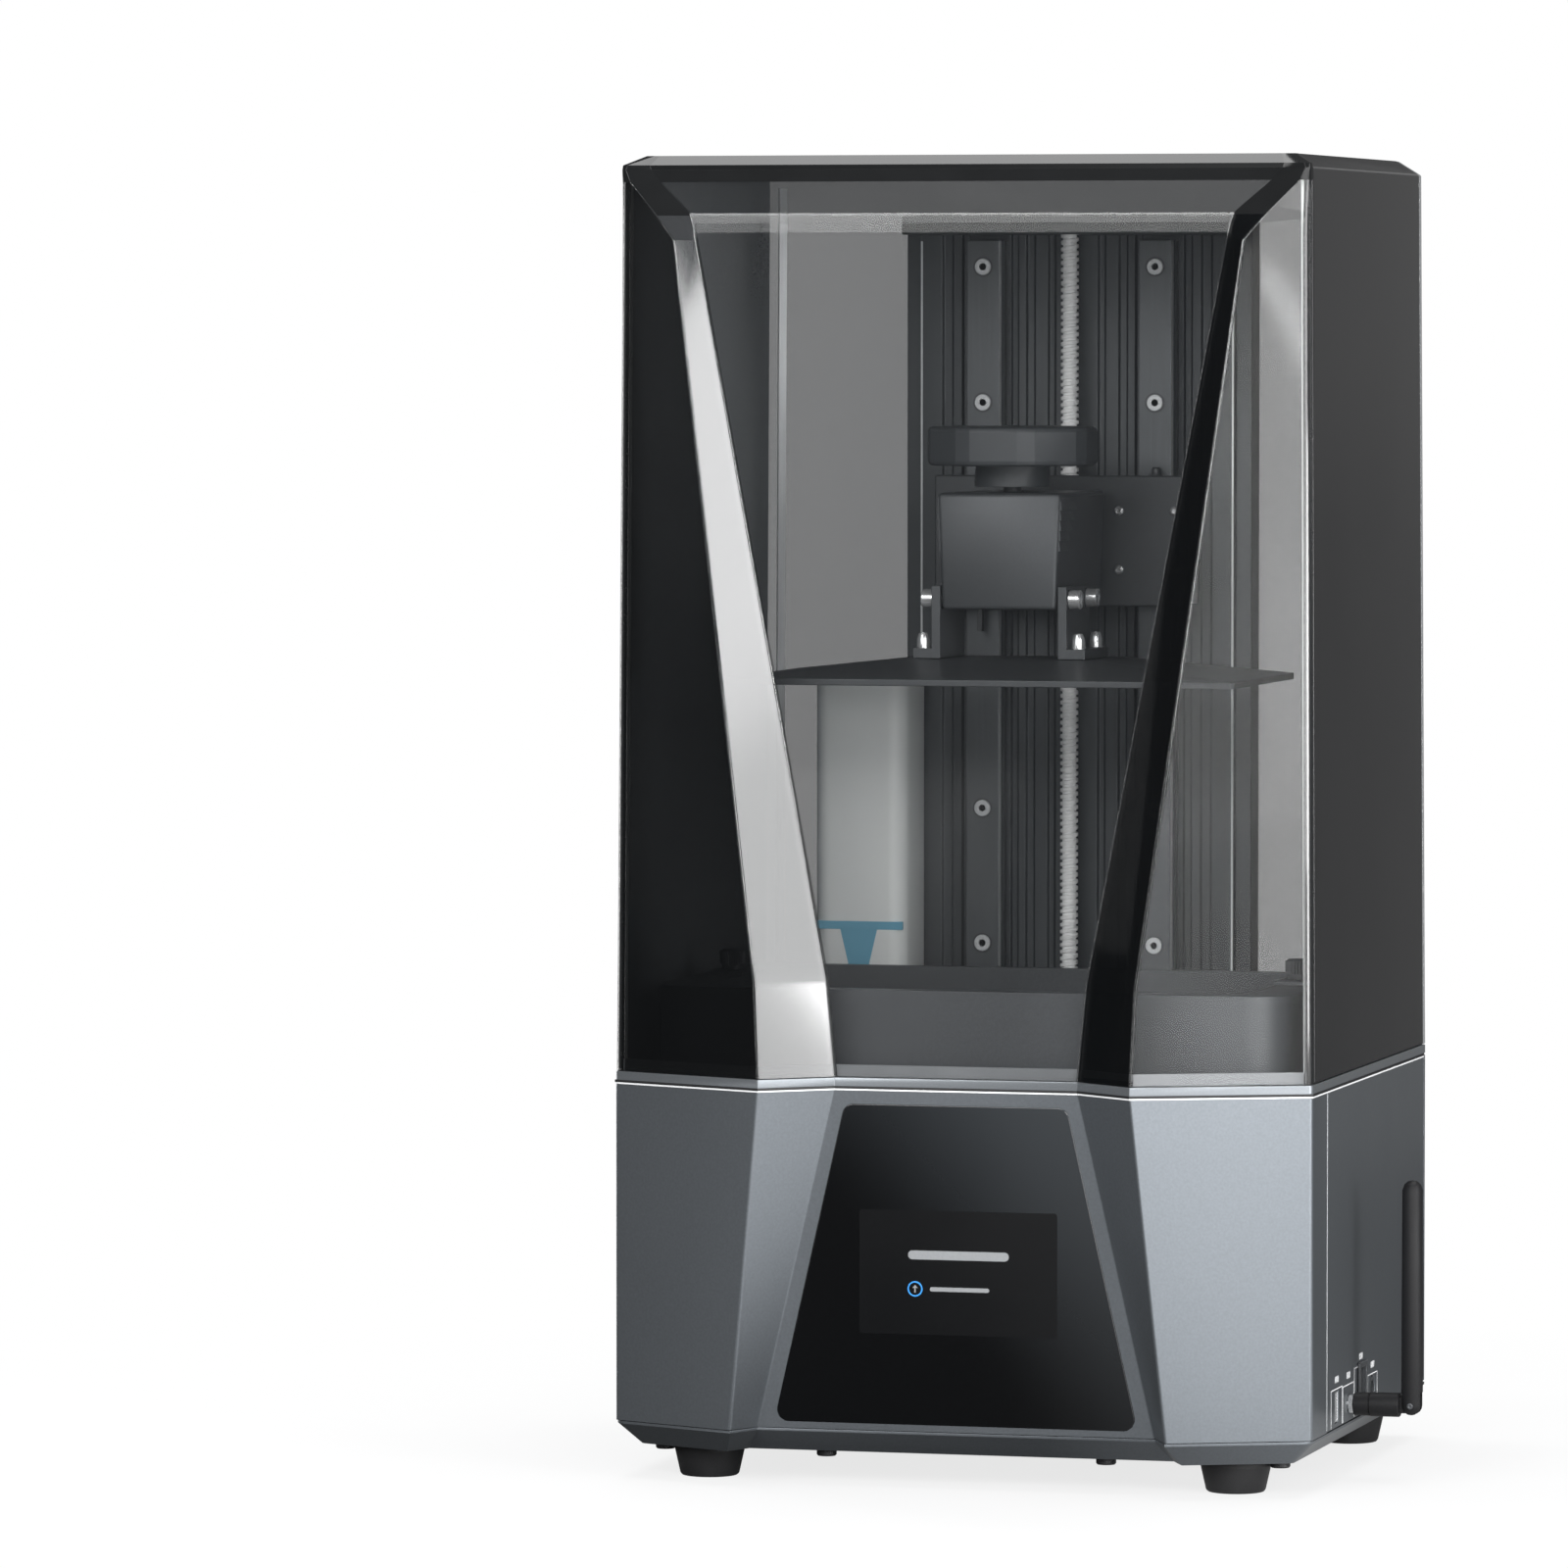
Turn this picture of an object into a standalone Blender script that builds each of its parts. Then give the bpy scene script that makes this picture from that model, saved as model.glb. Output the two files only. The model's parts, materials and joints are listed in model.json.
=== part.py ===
"""A large resin (masked LCD) 3-D printer: faceted base, tinted lift-off cover, Z tower, head, vat.

Metres, +Z up, +X to the printer's right as seen from its front, -Y to the front.
The origin is on the ground under the middle of the printer's base.
Each named object is one physical piece. Moving pieces keep a small gap to their neighbours.
"""

import math

import bmesh
import bpy
from mathutils import Matrix, Vector

# ---------------------------------------------------------------- driving dimensions

GAP = 0.0003
WALL = 0.003

# Plan of the printer: two wings that come forward from the side corners, a facet falling back
# from each wing, and a centre panel between the facets.
HALF_WIDTH = 0.15295
CORNER_Y = -0.1045
REAR_Y = 0.1360
PANEL_Y = -0.1140
WING_SLOPE = 0.4428
CORNER_RADIUS = 0.007
FASCIA_RETURN_Y = -0.0745

# Heights
UNDERSIDE_Z = 0.0140
FOLD_Z = 0.0245
BASE_TOP_Z = 0.1705
COVER_Z = 0.1753
OUTER_KNEE_Z = 0.5320
INNER_KNEE_Z = 0.5370
UPPER_FOLD_Z = 0.5560
SHOULDER_Z = 0.5612
ROOF_Z = 0.5673

# Half widths of the wing edge and of the centre panel, at the seam, at the base's fold, at the knees
WING_EDGE_SEAM = 0.0809
WING_EDGE_FOLD = 0.0949
WING_EDGE_KNEE = 0.1238
PANEL_SEAM = 0.0531
PANEL_FOLD = 0.0872
PANEL_KNEE = 0.1168

# The cover leans in towards its top
COVER_DRAFT = 0.0025
ROOF_INSET_X = 0.0083
ROOF_INSET_Y = 0.0091
CHAMFER_INSET = 0.0095

# Black glass trapezoid on the centre panel, and the touchscreen behind it
GLASS_TOP_Z = 0.1640
GLASS_LOW_Z = 0.0272
GLASS_TOP_HALF = 0.0488
GLASS_LOW_HALF = 0.0798
GLASS_CORNER = 0.0050
GLASS_CLEARANCE = 0.0004
TOUCH_HALF = 0.0455
TOUCH_LOW_Z = 0.0640
TOUCH_TOP_Z = 0.1220

# Feet, as X and Y
FOOT_PLACES = {
    "front_left": (-0.1160, -0.0860),
    "front_right": (0.1160, -0.0860),
    "rear_left": (-0.1250, 0.1070),
    "rear_right": (0.1250, 0.1070),
}

# Light engine under the screen
LIGHT_TOP_Z = 0.1640
LIGHT_LOW_Z = 0.1000
SINK_LOW_Z = 0.0640
BOARD_HALF_X = 0.0900
BOARD_HALF_Y = 0.0500

# Deck and screen
DECK_LOW_Z = 0.1668
DECK_Z = 0.1698
SCREEN_SIZE = (0.2220, 0.1290)
HEAD_Y = -0.0130

# Vat
VAT_HALF_X = 0.1393
VAT_FRONT_Y = -0.0965
VAT_REAR_Y = 0.0625
VAT_LOW_Z = 0.1750
VAT_TOP_Z = 0.2113
BASIN_HALF_X = 0.1185
BASIN_FRONT_Y = -0.0870
BASIN_REAR_Y = 0.0565
THUMB_X = 0.1265
THUMB_Y = -0.0107
LUG_TOP_Z = 0.2130

# Tower and its drive
SCREW_Y = 0.0935
SCREW_RADIUS = 0.0040
RAIL_X = 0.0392
RAIL_HALF = 0.0075
RAIL_FRONT_Y = 0.0915
TOWER_FACE_Y = 0.1068
TOWER_HALF_X = 0.0788
TOWER_REAR_Y = 0.1270
TOWER_TOP_Z = 0.5442
RAIL_TOP_Z = 0.5326
BEARING_LOW_Z = 0.5350
BEARING_TOP_Z = 0.5432
BEARING_HALF_X = 0.0745

# Carriage and head
CARRIAGE_Y = 0.0755
CARRIAGE_THICK = 0.0060
CARRIAGE_HALF_X = 0.0572
CARRIAGE_LOW_Z = 0.3708
CARRIAGE_TOP_Z = 0.4285
BLOCK_FRONT_Y = -0.0385
BLOCK_REAR_Y = 0.0455
BLOCK_LOW_Z = 0.3723
BLOCK_TOP_Z = 0.4226
BLOCK_HALF_TOP = 0.0274
BLOCK_HALF_LOW = 0.0253
ARM_HALF_X = 0.0170
ARM_LOW_Z = 0.3850
ARM_TOP_Z = 0.4110
BOLT_Y = (-0.0325, -0.0005)
BOLT_Z = 0.3768
BRACKET_IN = 0.0261
BRACKET_OUT = 0.0300
KNOB_RADIUS = 0.0369
PLATE_SIZE = (0.2245, 0.1235)
PLATE_Y = -0.0150
PLATE_LOW_Z = 0.3405
PLATE_EDGE_Z = 0.3433
PLATE_TOP_Z = 0.3508

# Ports on the right side
USB_Y = -0.0543
ANTENNA_Y = -0.0283
SWITCH_Y = -0.0031
POWER_JACK_Y = 0.0209
PORT_Z = 0.0335
ANTENNA_Z = 0.0322
ELBOW_X = 0.1805
WHIP_RADIUS = 0.0047
SWITCH_Z = 0.0370
ROCKER_TILT = math.radians(6)

# Air purifier on the deck, behind the vat
PURIFIER_X = -0.0890
PURIFIER_Y = 0.0850
PURIFIER_SIDE = 0.0420
PURIFIER_TOP_Z = 0.3390

# Exhaust fan on the rear panel
FAN_X = 0.0850
FAN_Z = 0.0900
FAN_SIDE = 0.0600
FAN_BORE = 0.0285
FAN_HUB = 0.0120
VENT_RADIUS = 0.0280
VENT_PITCH = 0.0070
VENT_HALF = 0.0018

# Switch flange and well, as half sizes in Y and Z
SWITCH_FLANGE = (0.0078, 0.0108)
SWITCH_BODY = (0.0067, 0.0097)
SWITCH_WELL = (0.0055, 0.0085)

# ---------------------------------------------------------------- scene helpers


def clear_scene():
    for obj in list(bpy.data.objects):
        bpy.data.objects.remove(obj, do_unlink=True)


def new_collection(name):
    collection = bpy.data.collections.new(name)
    bpy.context.scene.collection.children.link(collection)
    return collection


def material(name, color, roughness, metallic=0.0, alpha=1.0):
    made = bpy.data.materials.new(name)
    made.use_nodes = True
    shader = made.node_tree.nodes["Principled BSDF"]
    shader.inputs["Base Color"].default_value = (*color, 1.0)
    shader.inputs["Roughness"].default_value = roughness
    shader.inputs["Metallic"].default_value = metallic
    shader.inputs["Alpha"].default_value = alpha
    return made


def add_mesh(name, bm, look=None, origin=(0, 0, 0)):
    """Makes the bmesh an object whose own origin is at the point given in world space."""
    bmesh.ops.translate(bm, verts=bm.verts, vec=-Vector(origin))
    bmesh.ops.recalc_face_normals(bm, faces=bm.faces)
    mesh = bpy.data.meshes.new(name)
    bm.to_mesh(mesh)
    bm.free()
    obj = bpy.data.objects.new(name, mesh)
    obj.location = origin
    if look:
        mesh.materials.append(look)
        parts.objects.link(obj)
    else:
        cutters.objects.link(obj)
        obj.hide_render = True
        obj.display_type = "WIRE"
    return obj


def smooth(obj, angle=40):
    obj.data.shade_smooth()
    obj.data.set_sharp_from_angle(angle=math.radians(angle))
    return obj


def boolean(obj, other, operation="DIFFERENCE"):
    modifier = obj.modifiers.new(operation.title() + " " + other.name, "BOOLEAN")
    modifier.operation = operation
    modifier.object = other
    modifier.solver = "EXACT"
    return obj


def bevel(obj, width, segments=2, angle=40):
    modifier = obj.modifiers.new("Bevel", "BEVEL")
    modifier.width = width
    modifier.segments = segments
    modifier.limit_method = "ANGLE"
    modifier.angle_limit = math.radians(angle)
    return obj


def solidify(obj, thickness):
    modifier = obj.modifiers.new("Solidify", "SOLIDIFY")
    modifier.thickness = thickness
    modifier.offset = -1
    modifier.use_even_offset = True
    return obj


# ---------------------------------------------------------------- shape helpers


def box(name, low, high, look=None, origin=(0, 0, 0)):
    bm = bmesh.new()
    bmesh.ops.create_cube(bm, size=1)
    low, high = Vector(low), Vector(high)
    size = high - low
    matrix = Matrix.Translation((low + high) / 2) @ Matrix.Diagonal((*size, 1))
    bmesh.ops.transform(bm, matrix=matrix, verts=bm.verts)
    return add_mesh(name, bm, look, origin)


TURN_TO = {
    "X": Matrix.Rotation(math.radians(90), 4, "Y"),
    "Y": Matrix.Rotation(math.radians(-90), 4, "X"),
    "Z": Matrix.Identity(4),
}


def cylinder(name, centre, radius, length, axis="Z", look=None, sides=24, radius_end=None, origin=None):
    """A cylinder or cone whose middle is at centre; radius_end is the radius at its far end."""
    bm = bmesh.new()
    bmesh.ops.create_cone(
        bm,
        cap_ends=True,
        segments=sides,
        radius1=radius,
        radius2=radius if radius_end is None else radius_end,
        depth=length,
    )
    matrix = Matrix.Translation(centre) @ TURN_TO[axis]
    bmesh.ops.transform(bm, matrix=matrix, verts=bm.verts)
    return smooth(add_mesh(name, bm, look, centre if origin is None else origin))


def turned(name, place, profile, look, axis="Z", steps=24):
    """A turned piece: the profile is (radius, height) pairs down its outer side, top to bottom."""
    bm = bmesh.new()
    verts = [bm.verts.new((radius, 0, height)) for radius, height in profile]
    for first, second in zip(verts, verts[1:]):
        bm.edges.new((first, second))
    mesh = bpy.data.meshes.new(name)
    bm.to_mesh(mesh)
    bm.free()
    obj = bpy.data.objects.new(name, mesh)
    mesh.materials.append(look)
    parts.objects.link(obj)
    obj.matrix_world = Matrix.Translation(place) @ TURN_TO[axis]
    modifier = obj.modifiers.new("Screw", "SCREW")
    modifier.axis = "Z"
    modifier.steps = steps
    modifier.render_steps = steps
    modifier.use_merge_vertices = True
    modifier.merge_threshold = 0.00001
    return obj


def rounded_rectangle(half_x, half_y, radius, steps=5, centre=(0, 0)):
    points = []
    for quarter, (sx, sy) in enumerate(((1, 1), (-1, 1), (-1, -1), (1, -1))):
        for step in range(steps + 1):
            angle = math.radians(90 * quarter + 90 * step / steps)
            x = centre[0] + sx * (half_x - radius) + radius * math.cos(angle)
            y = centre[1] + sy * (half_y - radius) + radius * math.sin(angle)
            points.append((x, y))
    return points


def extrude_outline(name, outline, low, high, look=None, plane="XY", origin=(0, 0, 0)):
    """A flat outline made solid between two levels of the axis that its plane leaves over."""
    bm = bmesh.new()
    place = {
        "XY": lambda a, b, c: (a, b, c),
        "XZ": lambda a, b, c: (a, c, b),
        "YZ": lambda a, b, c: (c, a, b),
    }[plane]
    face = bm.faces.new([bm.verts.new(place(a, b, low)) for a, b in outline])
    grown = bmesh.ops.extrude_face_region(bm, geom=[face])
    moved = [item for item in grown["geom"] if isinstance(item, bmesh.types.BMVert)]
    bmesh.ops.translate(bm, verts=moved, vec=place(0, 0, high - low))
    return add_mesh(name, bm, look, origin)


def rounded_box(name, half_x, half_y, radius, low, high, look=None, centre=(0, 0), steps=5, origin=(0, 0, 0)):
    outline = rounded_rectangle(half_x, half_y, radius, steps, centre)
    return extrude_outline(name, outline, low, high, look, "XY", origin)


def loft(name, rows, look, thickness=None, closed=False, cap_first=False):
    """A sheet through rows of points, its first row lowest, with its outer face to the right of
    the rows' direction; thickness is added on the inner side."""
    bm = bmesh.new()
    grid = [[bm.verts.new(point) for point in row] for row in rows]
    count = len(rows[0])
    spans = count if closed else count - 1
    for lower, upper in zip(grid, grid[1:]):
        for i in range(spans):
            j = (i + 1) % count
            bm.faces.new((lower[i], lower[j], upper[j], upper[i]))
    if cap_first:
        bm.faces.new(list(reversed(grid[0])))
    mesh = bpy.data.meshes.new(name)
    bm.to_mesh(mesh)
    bm.free()
    obj = bpy.data.objects.new(name, mesh)
    mesh.materials.append(look)
    parts.objects.link(obj)
    return solidify(obj, thickness) if thickness else obj


# ---------------------------------------------------------------- the faceted plan


def fillet(before, corner, after, radius, steps=4):
    """Points of an arc that rounds a corner of an outline."""
    corner = Vector(corner)
    to_before = (Vector(before) - corner).normalized()
    to_after = (Vector(after) - corner).normalized()
    half = to_before.angle(to_after) / 2
    centre = corner + (to_before + to_after).normalized() * radius / math.sin(half)
    start = corner + to_before * radius / math.tan(half) - centre
    end = corner + to_after * radius / math.tan(half) - centre
    points = []
    for step in range(steps + 1):
        mixed = start.lerp(end, step / steps).normalized() * radius
        points.append(tuple(centre + mixed))
    return points


def front_plan(half_width, corner_y, wing_edge, panel_edge, panel_y):
    """The front of the outline at one level, left corner to right corner."""
    wing_y = corner_y - (half_width - wing_edge) * WING_SLOPE
    right = [(panel_edge, panel_y), (wing_edge, wing_y), (half_width, corner_y)]
    return [(-x, y) for x, y in reversed(right)] + right


def round_corners(points, before, after, radius):
    """The plan with its two outer corners rounded; before and after are the outline's next points."""
    first = fillet(before, points[0], points[1], radius)
    last = fillet(points[-2], points[-1], after, radius)
    return first + points[1:-1] + last


def blend(low, high, share):
    return low + (high - low) * share


def base_plan(z):
    """The base's front outline at a height."""
    share = (z - FOLD_Z) / (BASE_TOP_Z - FOLD_Z)
    wing_edge = blend(WING_EDGE_FOLD, WING_EDGE_SEAM, share)
    return front_plan(HALF_WIDTH, CORNER_Y, wing_edge, blend(PANEL_FOLD, PANEL_SEAM, share), PANEL_Y)


def at_height(points, z):
    return [(x, y, z) for x, y in points]


def moved_in(outline, distance):
    """A closed outline, run anticlockwise, with each of its sides moved inwards."""
    points = []
    for i, corner in enumerate(outline):
        corner = Vector(corner)
        before = (corner - Vector(outline[i - 1])).normalized()
        after = (Vector(outline[(i + 1) % len(outline)]) - corner).normalized()
        inwards = before.orthogonal() + after.orthogonal()
        points.append(tuple(corner + inwards * distance / (1 + before.dot(after))))
    return points


def base_ring(z, inset, radius=CORNER_RADIUS):
    """The base's whole outline at a height, moved inwards, with rounded front corners."""
    outline = base_plan(z) + [(HALF_WIDTH, REAR_Y), (-HALF_WIDTH, REAR_Y)]
    *front, rear_right, rear_left = moved_in(outline, inset)
    return round_corners(front, rear_left, rear_right, radius) + [rear_right, rear_left]


# ---------------------------------------------------------------- base


def make_front_fascia():
    rows = []
    for z in (FOLD_Z, BASE_TOP_Z):
        plan = round_corners(base_plan(z), (-HALF_WIDTH, 0), (HALF_WIDTH, 0), CORNER_RADIUS)
        ends = (-HALF_WIDTH, FASCIA_RETURN_Y), (HALF_WIDTH, FASCIA_RETURN_Y)
        rows.append(at_height([ends[0], *plan, ends[1]], z))
    fascia = loft("front_fascia", rows, shell_grey, WALL)
    window = glass_outline(GLASS_CLEARANCE)
    cutter = extrude_outline("cut_glass_window", window, PANEL_Y - 0.01, PANEL_Y + 0.01, plane="XZ")
    boolean(fascia, cutter)


def glass_outline(grow):
    """The black trapezoid with rounded corners, as X and Z."""
    corners = [
        (-GLASS_LOW_HALF - grow, GLASS_LOW_Z - grow),
        (GLASS_LOW_HALF + grow, GLASS_LOW_Z - grow),
        (GLASS_TOP_HALF + grow, GLASS_TOP_Z + grow),
        (-GLASS_TOP_HALF - grow, GLASS_TOP_Z + grow),
    ]
    points = []
    for i, corner in enumerate(corners):
        points += fillet(corners[i - 1], corner, corners[(i + 1) % 4], GLASS_CORNER + grow)
    return points


def make_front_glass():
    extrude_outline(
        "front_glass", glass_outline(0), PANEL_Y + 0.0003, PANEL_Y + 0.0023, black_glass, "XZ"
    )


def make_touchscreen():
    low = (-TOUCH_HALF, PANEL_Y + 0.0033, TOUCH_LOW_Z)
    high = (TOUCH_HALF, PANEL_Y + 0.0083, TOUCH_TOP_Z)
    box("touchscreen_module", low, high, dark_plastic)


def make_side_panel(name, side):
    low = (HALF_WIDTH - 0.0025, FASCIA_RETURN_Y + GAP, FOLD_Z + GAP)
    high = (HALF_WIDTH, REAR_Y - WALL - GAP, BASE_TOP_Z)
    if side < 0:
        low, high = (-high[0], low[1], low[2]), (-low[0], high[1], high[2])
    return box(name, low, high, shell_grey)


def cut_ports(panel):
    x = HALF_WIDTH
    low = (x - 0.01, USB_Y - 0.0035, PORT_Z - 0.0068)
    usb = box("cut_usb", low, (x + 0.01, USB_Y + 0.0035, PORT_Z + 0.0068))
    antenna = cylinder("cut_antenna", (x, ANTENNA_Y, ANTENNA_Z), 0.0036, 0.02, "X", sides=16)
    half_y, half_z = SWITCH_BODY[0] + GAP, SWITCH_BODY[1] + GAP
    low = (x - 0.01, SWITCH_Y - half_y, SWITCH_Z - half_z)
    switch = box("cut_switch", low, (x + 0.01, SWITCH_Y + half_y, SWITCH_Z + half_z))
    jack = cylinder("cut_power_jack", (x, POWER_JACK_Y, PORT_Z), 0.0058, 0.02, "X", sides=20)
    for cutter in (usb, antenna, switch, jack):
        boolean(panel, cutter)


def make_rear_panel():
    low = (-HALF_WIDTH, REAR_Y - WALL, FOLD_Z + GAP)
    panel = box("rear_panel", low, (HALF_WIDTH, REAR_Y, BASE_TOP_Z), shell_grey)
    for side, centre_x in (("left", -FAN_X), ("right", FAN_X)):
        for i in range(8):
            offset = (i - 3.5) * VENT_PITCH
            half = math.sqrt(VENT_RADIUS**2 - offset**2)
            low = (centre_x + offset - VENT_HALF, REAR_Y - 0.01, FAN_Z - half)
            high = (centre_x + offset + VENT_HALF, REAR_Y + 0.01, FAN_Z + half)
            boolean(panel, box(f"cut_vent_{side}_{i}", low, high))


def make_bottom_tray():
    rows = [at_height(base_ring(FOLD_Z, CHAMFER_INSET, 0.004), UNDERSIDE_Z)]
    rows += [at_height(base_ring(FOLD_Z, 0), z) for z in (FOLD_Z - 0.0014, FOLD_Z - GAP)]
    loft("bottom_tray", rows, shell_grey, 0.0020, closed=True, cap_first=True)


def make_feet():
    top = UNDERSIDE_Z - GAP
    profile = [(0, top), (0.0153, top), (0.0150, 0.0110), (0.0127, 0.0008), (0.0119, 0), (0, 0)]
    for place, (x, y) in FOOT_PLACES.items():
        turned(f"foot_{place}", (x, y, 0), profile, rubber)


def make_deck():
    inset = WALL + 0.0012
    ring = base_ring(BASE_TOP_Z, inset, 0.004)
    deck = extrude_outline("deck_plate", ring, DECK_LOW_Z, DECK_Z, dark_metal)
    half_x, half_y = SCREEN_SIZE[0] / 2 + 0.0008, SCREEN_SIZE[1] / 2 + 0.0008
    boolean(deck, rounded_box("cut_screen", half_x, half_y, 0.003, 0.15, 0.18, centre=(0, HEAD_Y)))
    boolean(deck, cylinder("cut_shaft", (0, SCREW_Y, DECK_Z), 0.0120, 0.02))
    for side in (-1, 1):
        place = (side * THUMB_X, THUMB_Y, DECK_Z)
        boolean(deck, cylinder(f"cut_deck_thread_{side}", place, 0.0026, 0.02, sides=12))


def make_screen():
    half_x, half_y = SCREEN_SIZE[0] / 2, SCREEN_SIZE[1] / 2
    panel = (half_x, half_y, 0.002)
    rounded_box("lcd_panel", *panel, DECK_LOW_Z + 0.0004, DECK_Z - 0.0002, lcd_glass, (0, HEAD_Y), 2)
    glass = (half_x + 0.007, half_y + 0.007, 0.004)
    rounded_box("screen_glass", *glass, DECK_Z + GAP, DECK_Z + 0.0018, black_glass, (0, HEAD_Y), 3)


# ---------------------------------------------------------------- light engine and electronics


def make_light_engine():
    rows = []
    for half_x, half_y, z in ((0.088, 0.048, LIGHT_LOW_Z), (0.114, 0.068, LIGHT_TOP_Z)):
        ring = rounded_rectangle(half_x, half_y, 0.006, 2, (0, HEAD_Y))
        rows.append(at_height(ring, z))
    loft("light_reflector", rows, reflector, 0.0015, closed=True)
    low = (-BOARD_HALF_X, HEAD_Y - BOARD_HALF_Y, LIGHT_LOW_Z - 0.0023)
    high = (BOARD_HALF_X, HEAD_Y + BOARD_HALF_Y, LIGHT_LOW_Z - GAP)
    board = box("led_board", low, high, board_green)
    for row in range(3):
        for column in range(6):
            place = ((column - 2.5) * 0.027, HEAD_Y + (row - 1) * 0.029, LIGHT_LOW_Z + 0.0005)
            lens = cylinder(f"add_led_{row}_{column}", place, 0.0045, 0.0030, sides=6)
            boolean(board, lens, "UNION")
    sink_top = LIGHT_LOW_Z - 0.0026
    low = (-BOARD_HALF_X, HEAD_Y - BOARD_HALF_Y, SINK_LOW_Z)
    sink = box("heat_sink", low, (BOARD_HALF_X, HEAD_Y + BOARD_HALF_Y, sink_top), aluminium)
    for i in range(12):
        x = (i - 5.5) * 0.0150
        low = (x - 0.0052, HEAD_Y - 0.06, 0.05)
        boolean(sink, box(f"cut_fin_{i}", low, (x + 0.0052, HEAD_Y + 0.06, sink_top - 0.005)))


def make_mainboard():
    board = box("mainboard", (-0.1350, 0.0150, 0.0270), (-0.0150, 0.1050, 0.0286), board_green)
    additions = {
        "processor": ((-0.0900, 0.0500, 0.0280), (-0.0660, 0.0740, 0.0330)),
        "driver": ((-0.1220, 0.0820, 0.0280), (-0.1060, 0.0980, 0.0400)),
        "connectors": ((-0.1300, 0.0180, 0.0280), (-0.0300, 0.0240, 0.0370)),
        "capacitor": ((-0.0360, 0.0820, 0.0280), (-0.0240, 0.0940, 0.0440)),
    }
    for name, (low, high) in additions.items():
        boolean(board, box(f"add_{name}", low, high), "UNION")
    for x in (-0.1300, -0.0200):
        for y in (0.0200, 0.1000):
            centre = (x, y, 0.0219)
            stand = cylinder(f"add_standoff_{x}_{y}", centre, 0.0030, 0.0110, sides=8)
            boolean(board, stand, "UNION")


def make_motor():
    centre_z = DECK_LOW_Z - GAP - 0.0200
    outline = rounded_rectangle(0.0211, 0.0211, 0.0040, 2, (0, SCREW_Y))
    low, high = centre_z - 0.0200, centre_z + 0.0200
    motor = extrude_outline("z_motor", outline, low, high, dark_metal)
    shaft = cylinder("add_shaft", (0, SCREW_Y, high + 0.006), 0.0025, 0.016, sides=16)
    boolean(motor, shaft, "UNION")


def blade_rotor(name, place, radius, hub, depth, blades, look):
    """A fan rotor that turns about Y: a hub with flat tilted blades that run into it."""
    rotor = cylinder(name, place, hub, depth, "Y", look, sides=20)
    for i in range(blades):
        angle = math.tau * i / blades
        bm = bmesh.new()
        bmesh.ops.create_cube(bm, size=1)
        shape = Matrix.Diagonal((radius - hub + 0.002, 0.0012, 0.0120, 1))
        tilt = Matrix.Rotation(math.radians(52), 4, "X")
        out = Matrix.Translation(((radius + hub) / 2 - 0.001, 0, 0))
        turn = Matrix.Rotation(angle, 4, "Y")
        matrix = Matrix.Translation(place) @ turn @ out @ tilt @ shape
        bmesh.ops.transform(bm, matrix=matrix, verts=bm.verts)
        boolean(rotor, add_mesh(f"add_{name}_{i}", bm), "UNION")
    return rotor


def make_exhaust_fan():
    rear = REAR_Y - WALL - GAP
    half = FAN_SIDE / 2
    outline = rounded_rectangle(half, half, 0.004, 2, (FAN_X, FAN_Z))
    frame = extrude_outline("exhaust_fan_frame", outline, rear - 0.0150, rear, dark_plastic, "XZ")
    place = (FAN_X, rear - 0.0085, FAN_Z)
    bore = cylinder("cut_fan", (FAN_X, rear - 0.0090, FAN_Z), FAN_BORE, 0.014, "Y", sides=32)
    boolean(frame, bore)
    for i in range(4):
        angle = math.radians(45 + 90 * i)
        middle = (FAN_BORE + FAN_HUB) / 2
        offset = Vector((math.cos(angle), 0, math.sin(angle))) * middle
        turn = Matrix.Rotation(-angle, 4, "Y")
        bm = bmesh.new()
        bmesh.ops.create_cube(bm, size=1)
        cut = Matrix.Translation(Vector((FAN_X, rear, FAN_Z)) + offset) @ turn
        bmesh.ops.transform(bm, matrix=cut @ Matrix.Diagonal((0.012, 0.02, 0.024, 1)), verts=bm.verts)
        boolean(frame, add_mesh(f"cut_fan_window_{i}", bm))
    blade_rotor("exhaust_fan_rotor", place, FAN_BORE - 0.0013, FAN_HUB, 0.0100, 7, dark_plastic)


# ---------------------------------------------------------------- ports, switch and antenna


def make_ports():
    x = HALF_WIDTH
    low = (x - 0.0160, USB_Y - 0.0032, PORT_Z - 0.0065)
    high = (x - 0.0002, USB_Y + 0.0032, PORT_Z + 0.0065)
    usb = box("usb_socket", low, high, steel)
    low = (x - 0.0120, USB_Y - 0.0026, PORT_Z - 0.0059)
    high = (x + 0.0010, USB_Y + 0.0026, PORT_Z + 0.0059)
    boolean(usb, box("cut_usb_mouth", low, high))
    jack = cylinder("power_jack", (x - 0.0068, POWER_JACK_Y, PORT_Z), 0.0054, 0.0134, "X", dark_plastic, 20)
    boolean(jack, cylinder("cut_jack", (x, POWER_JACK_Y, PORT_Z), 0.0036, 0.0200, "X", sides=16))


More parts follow.
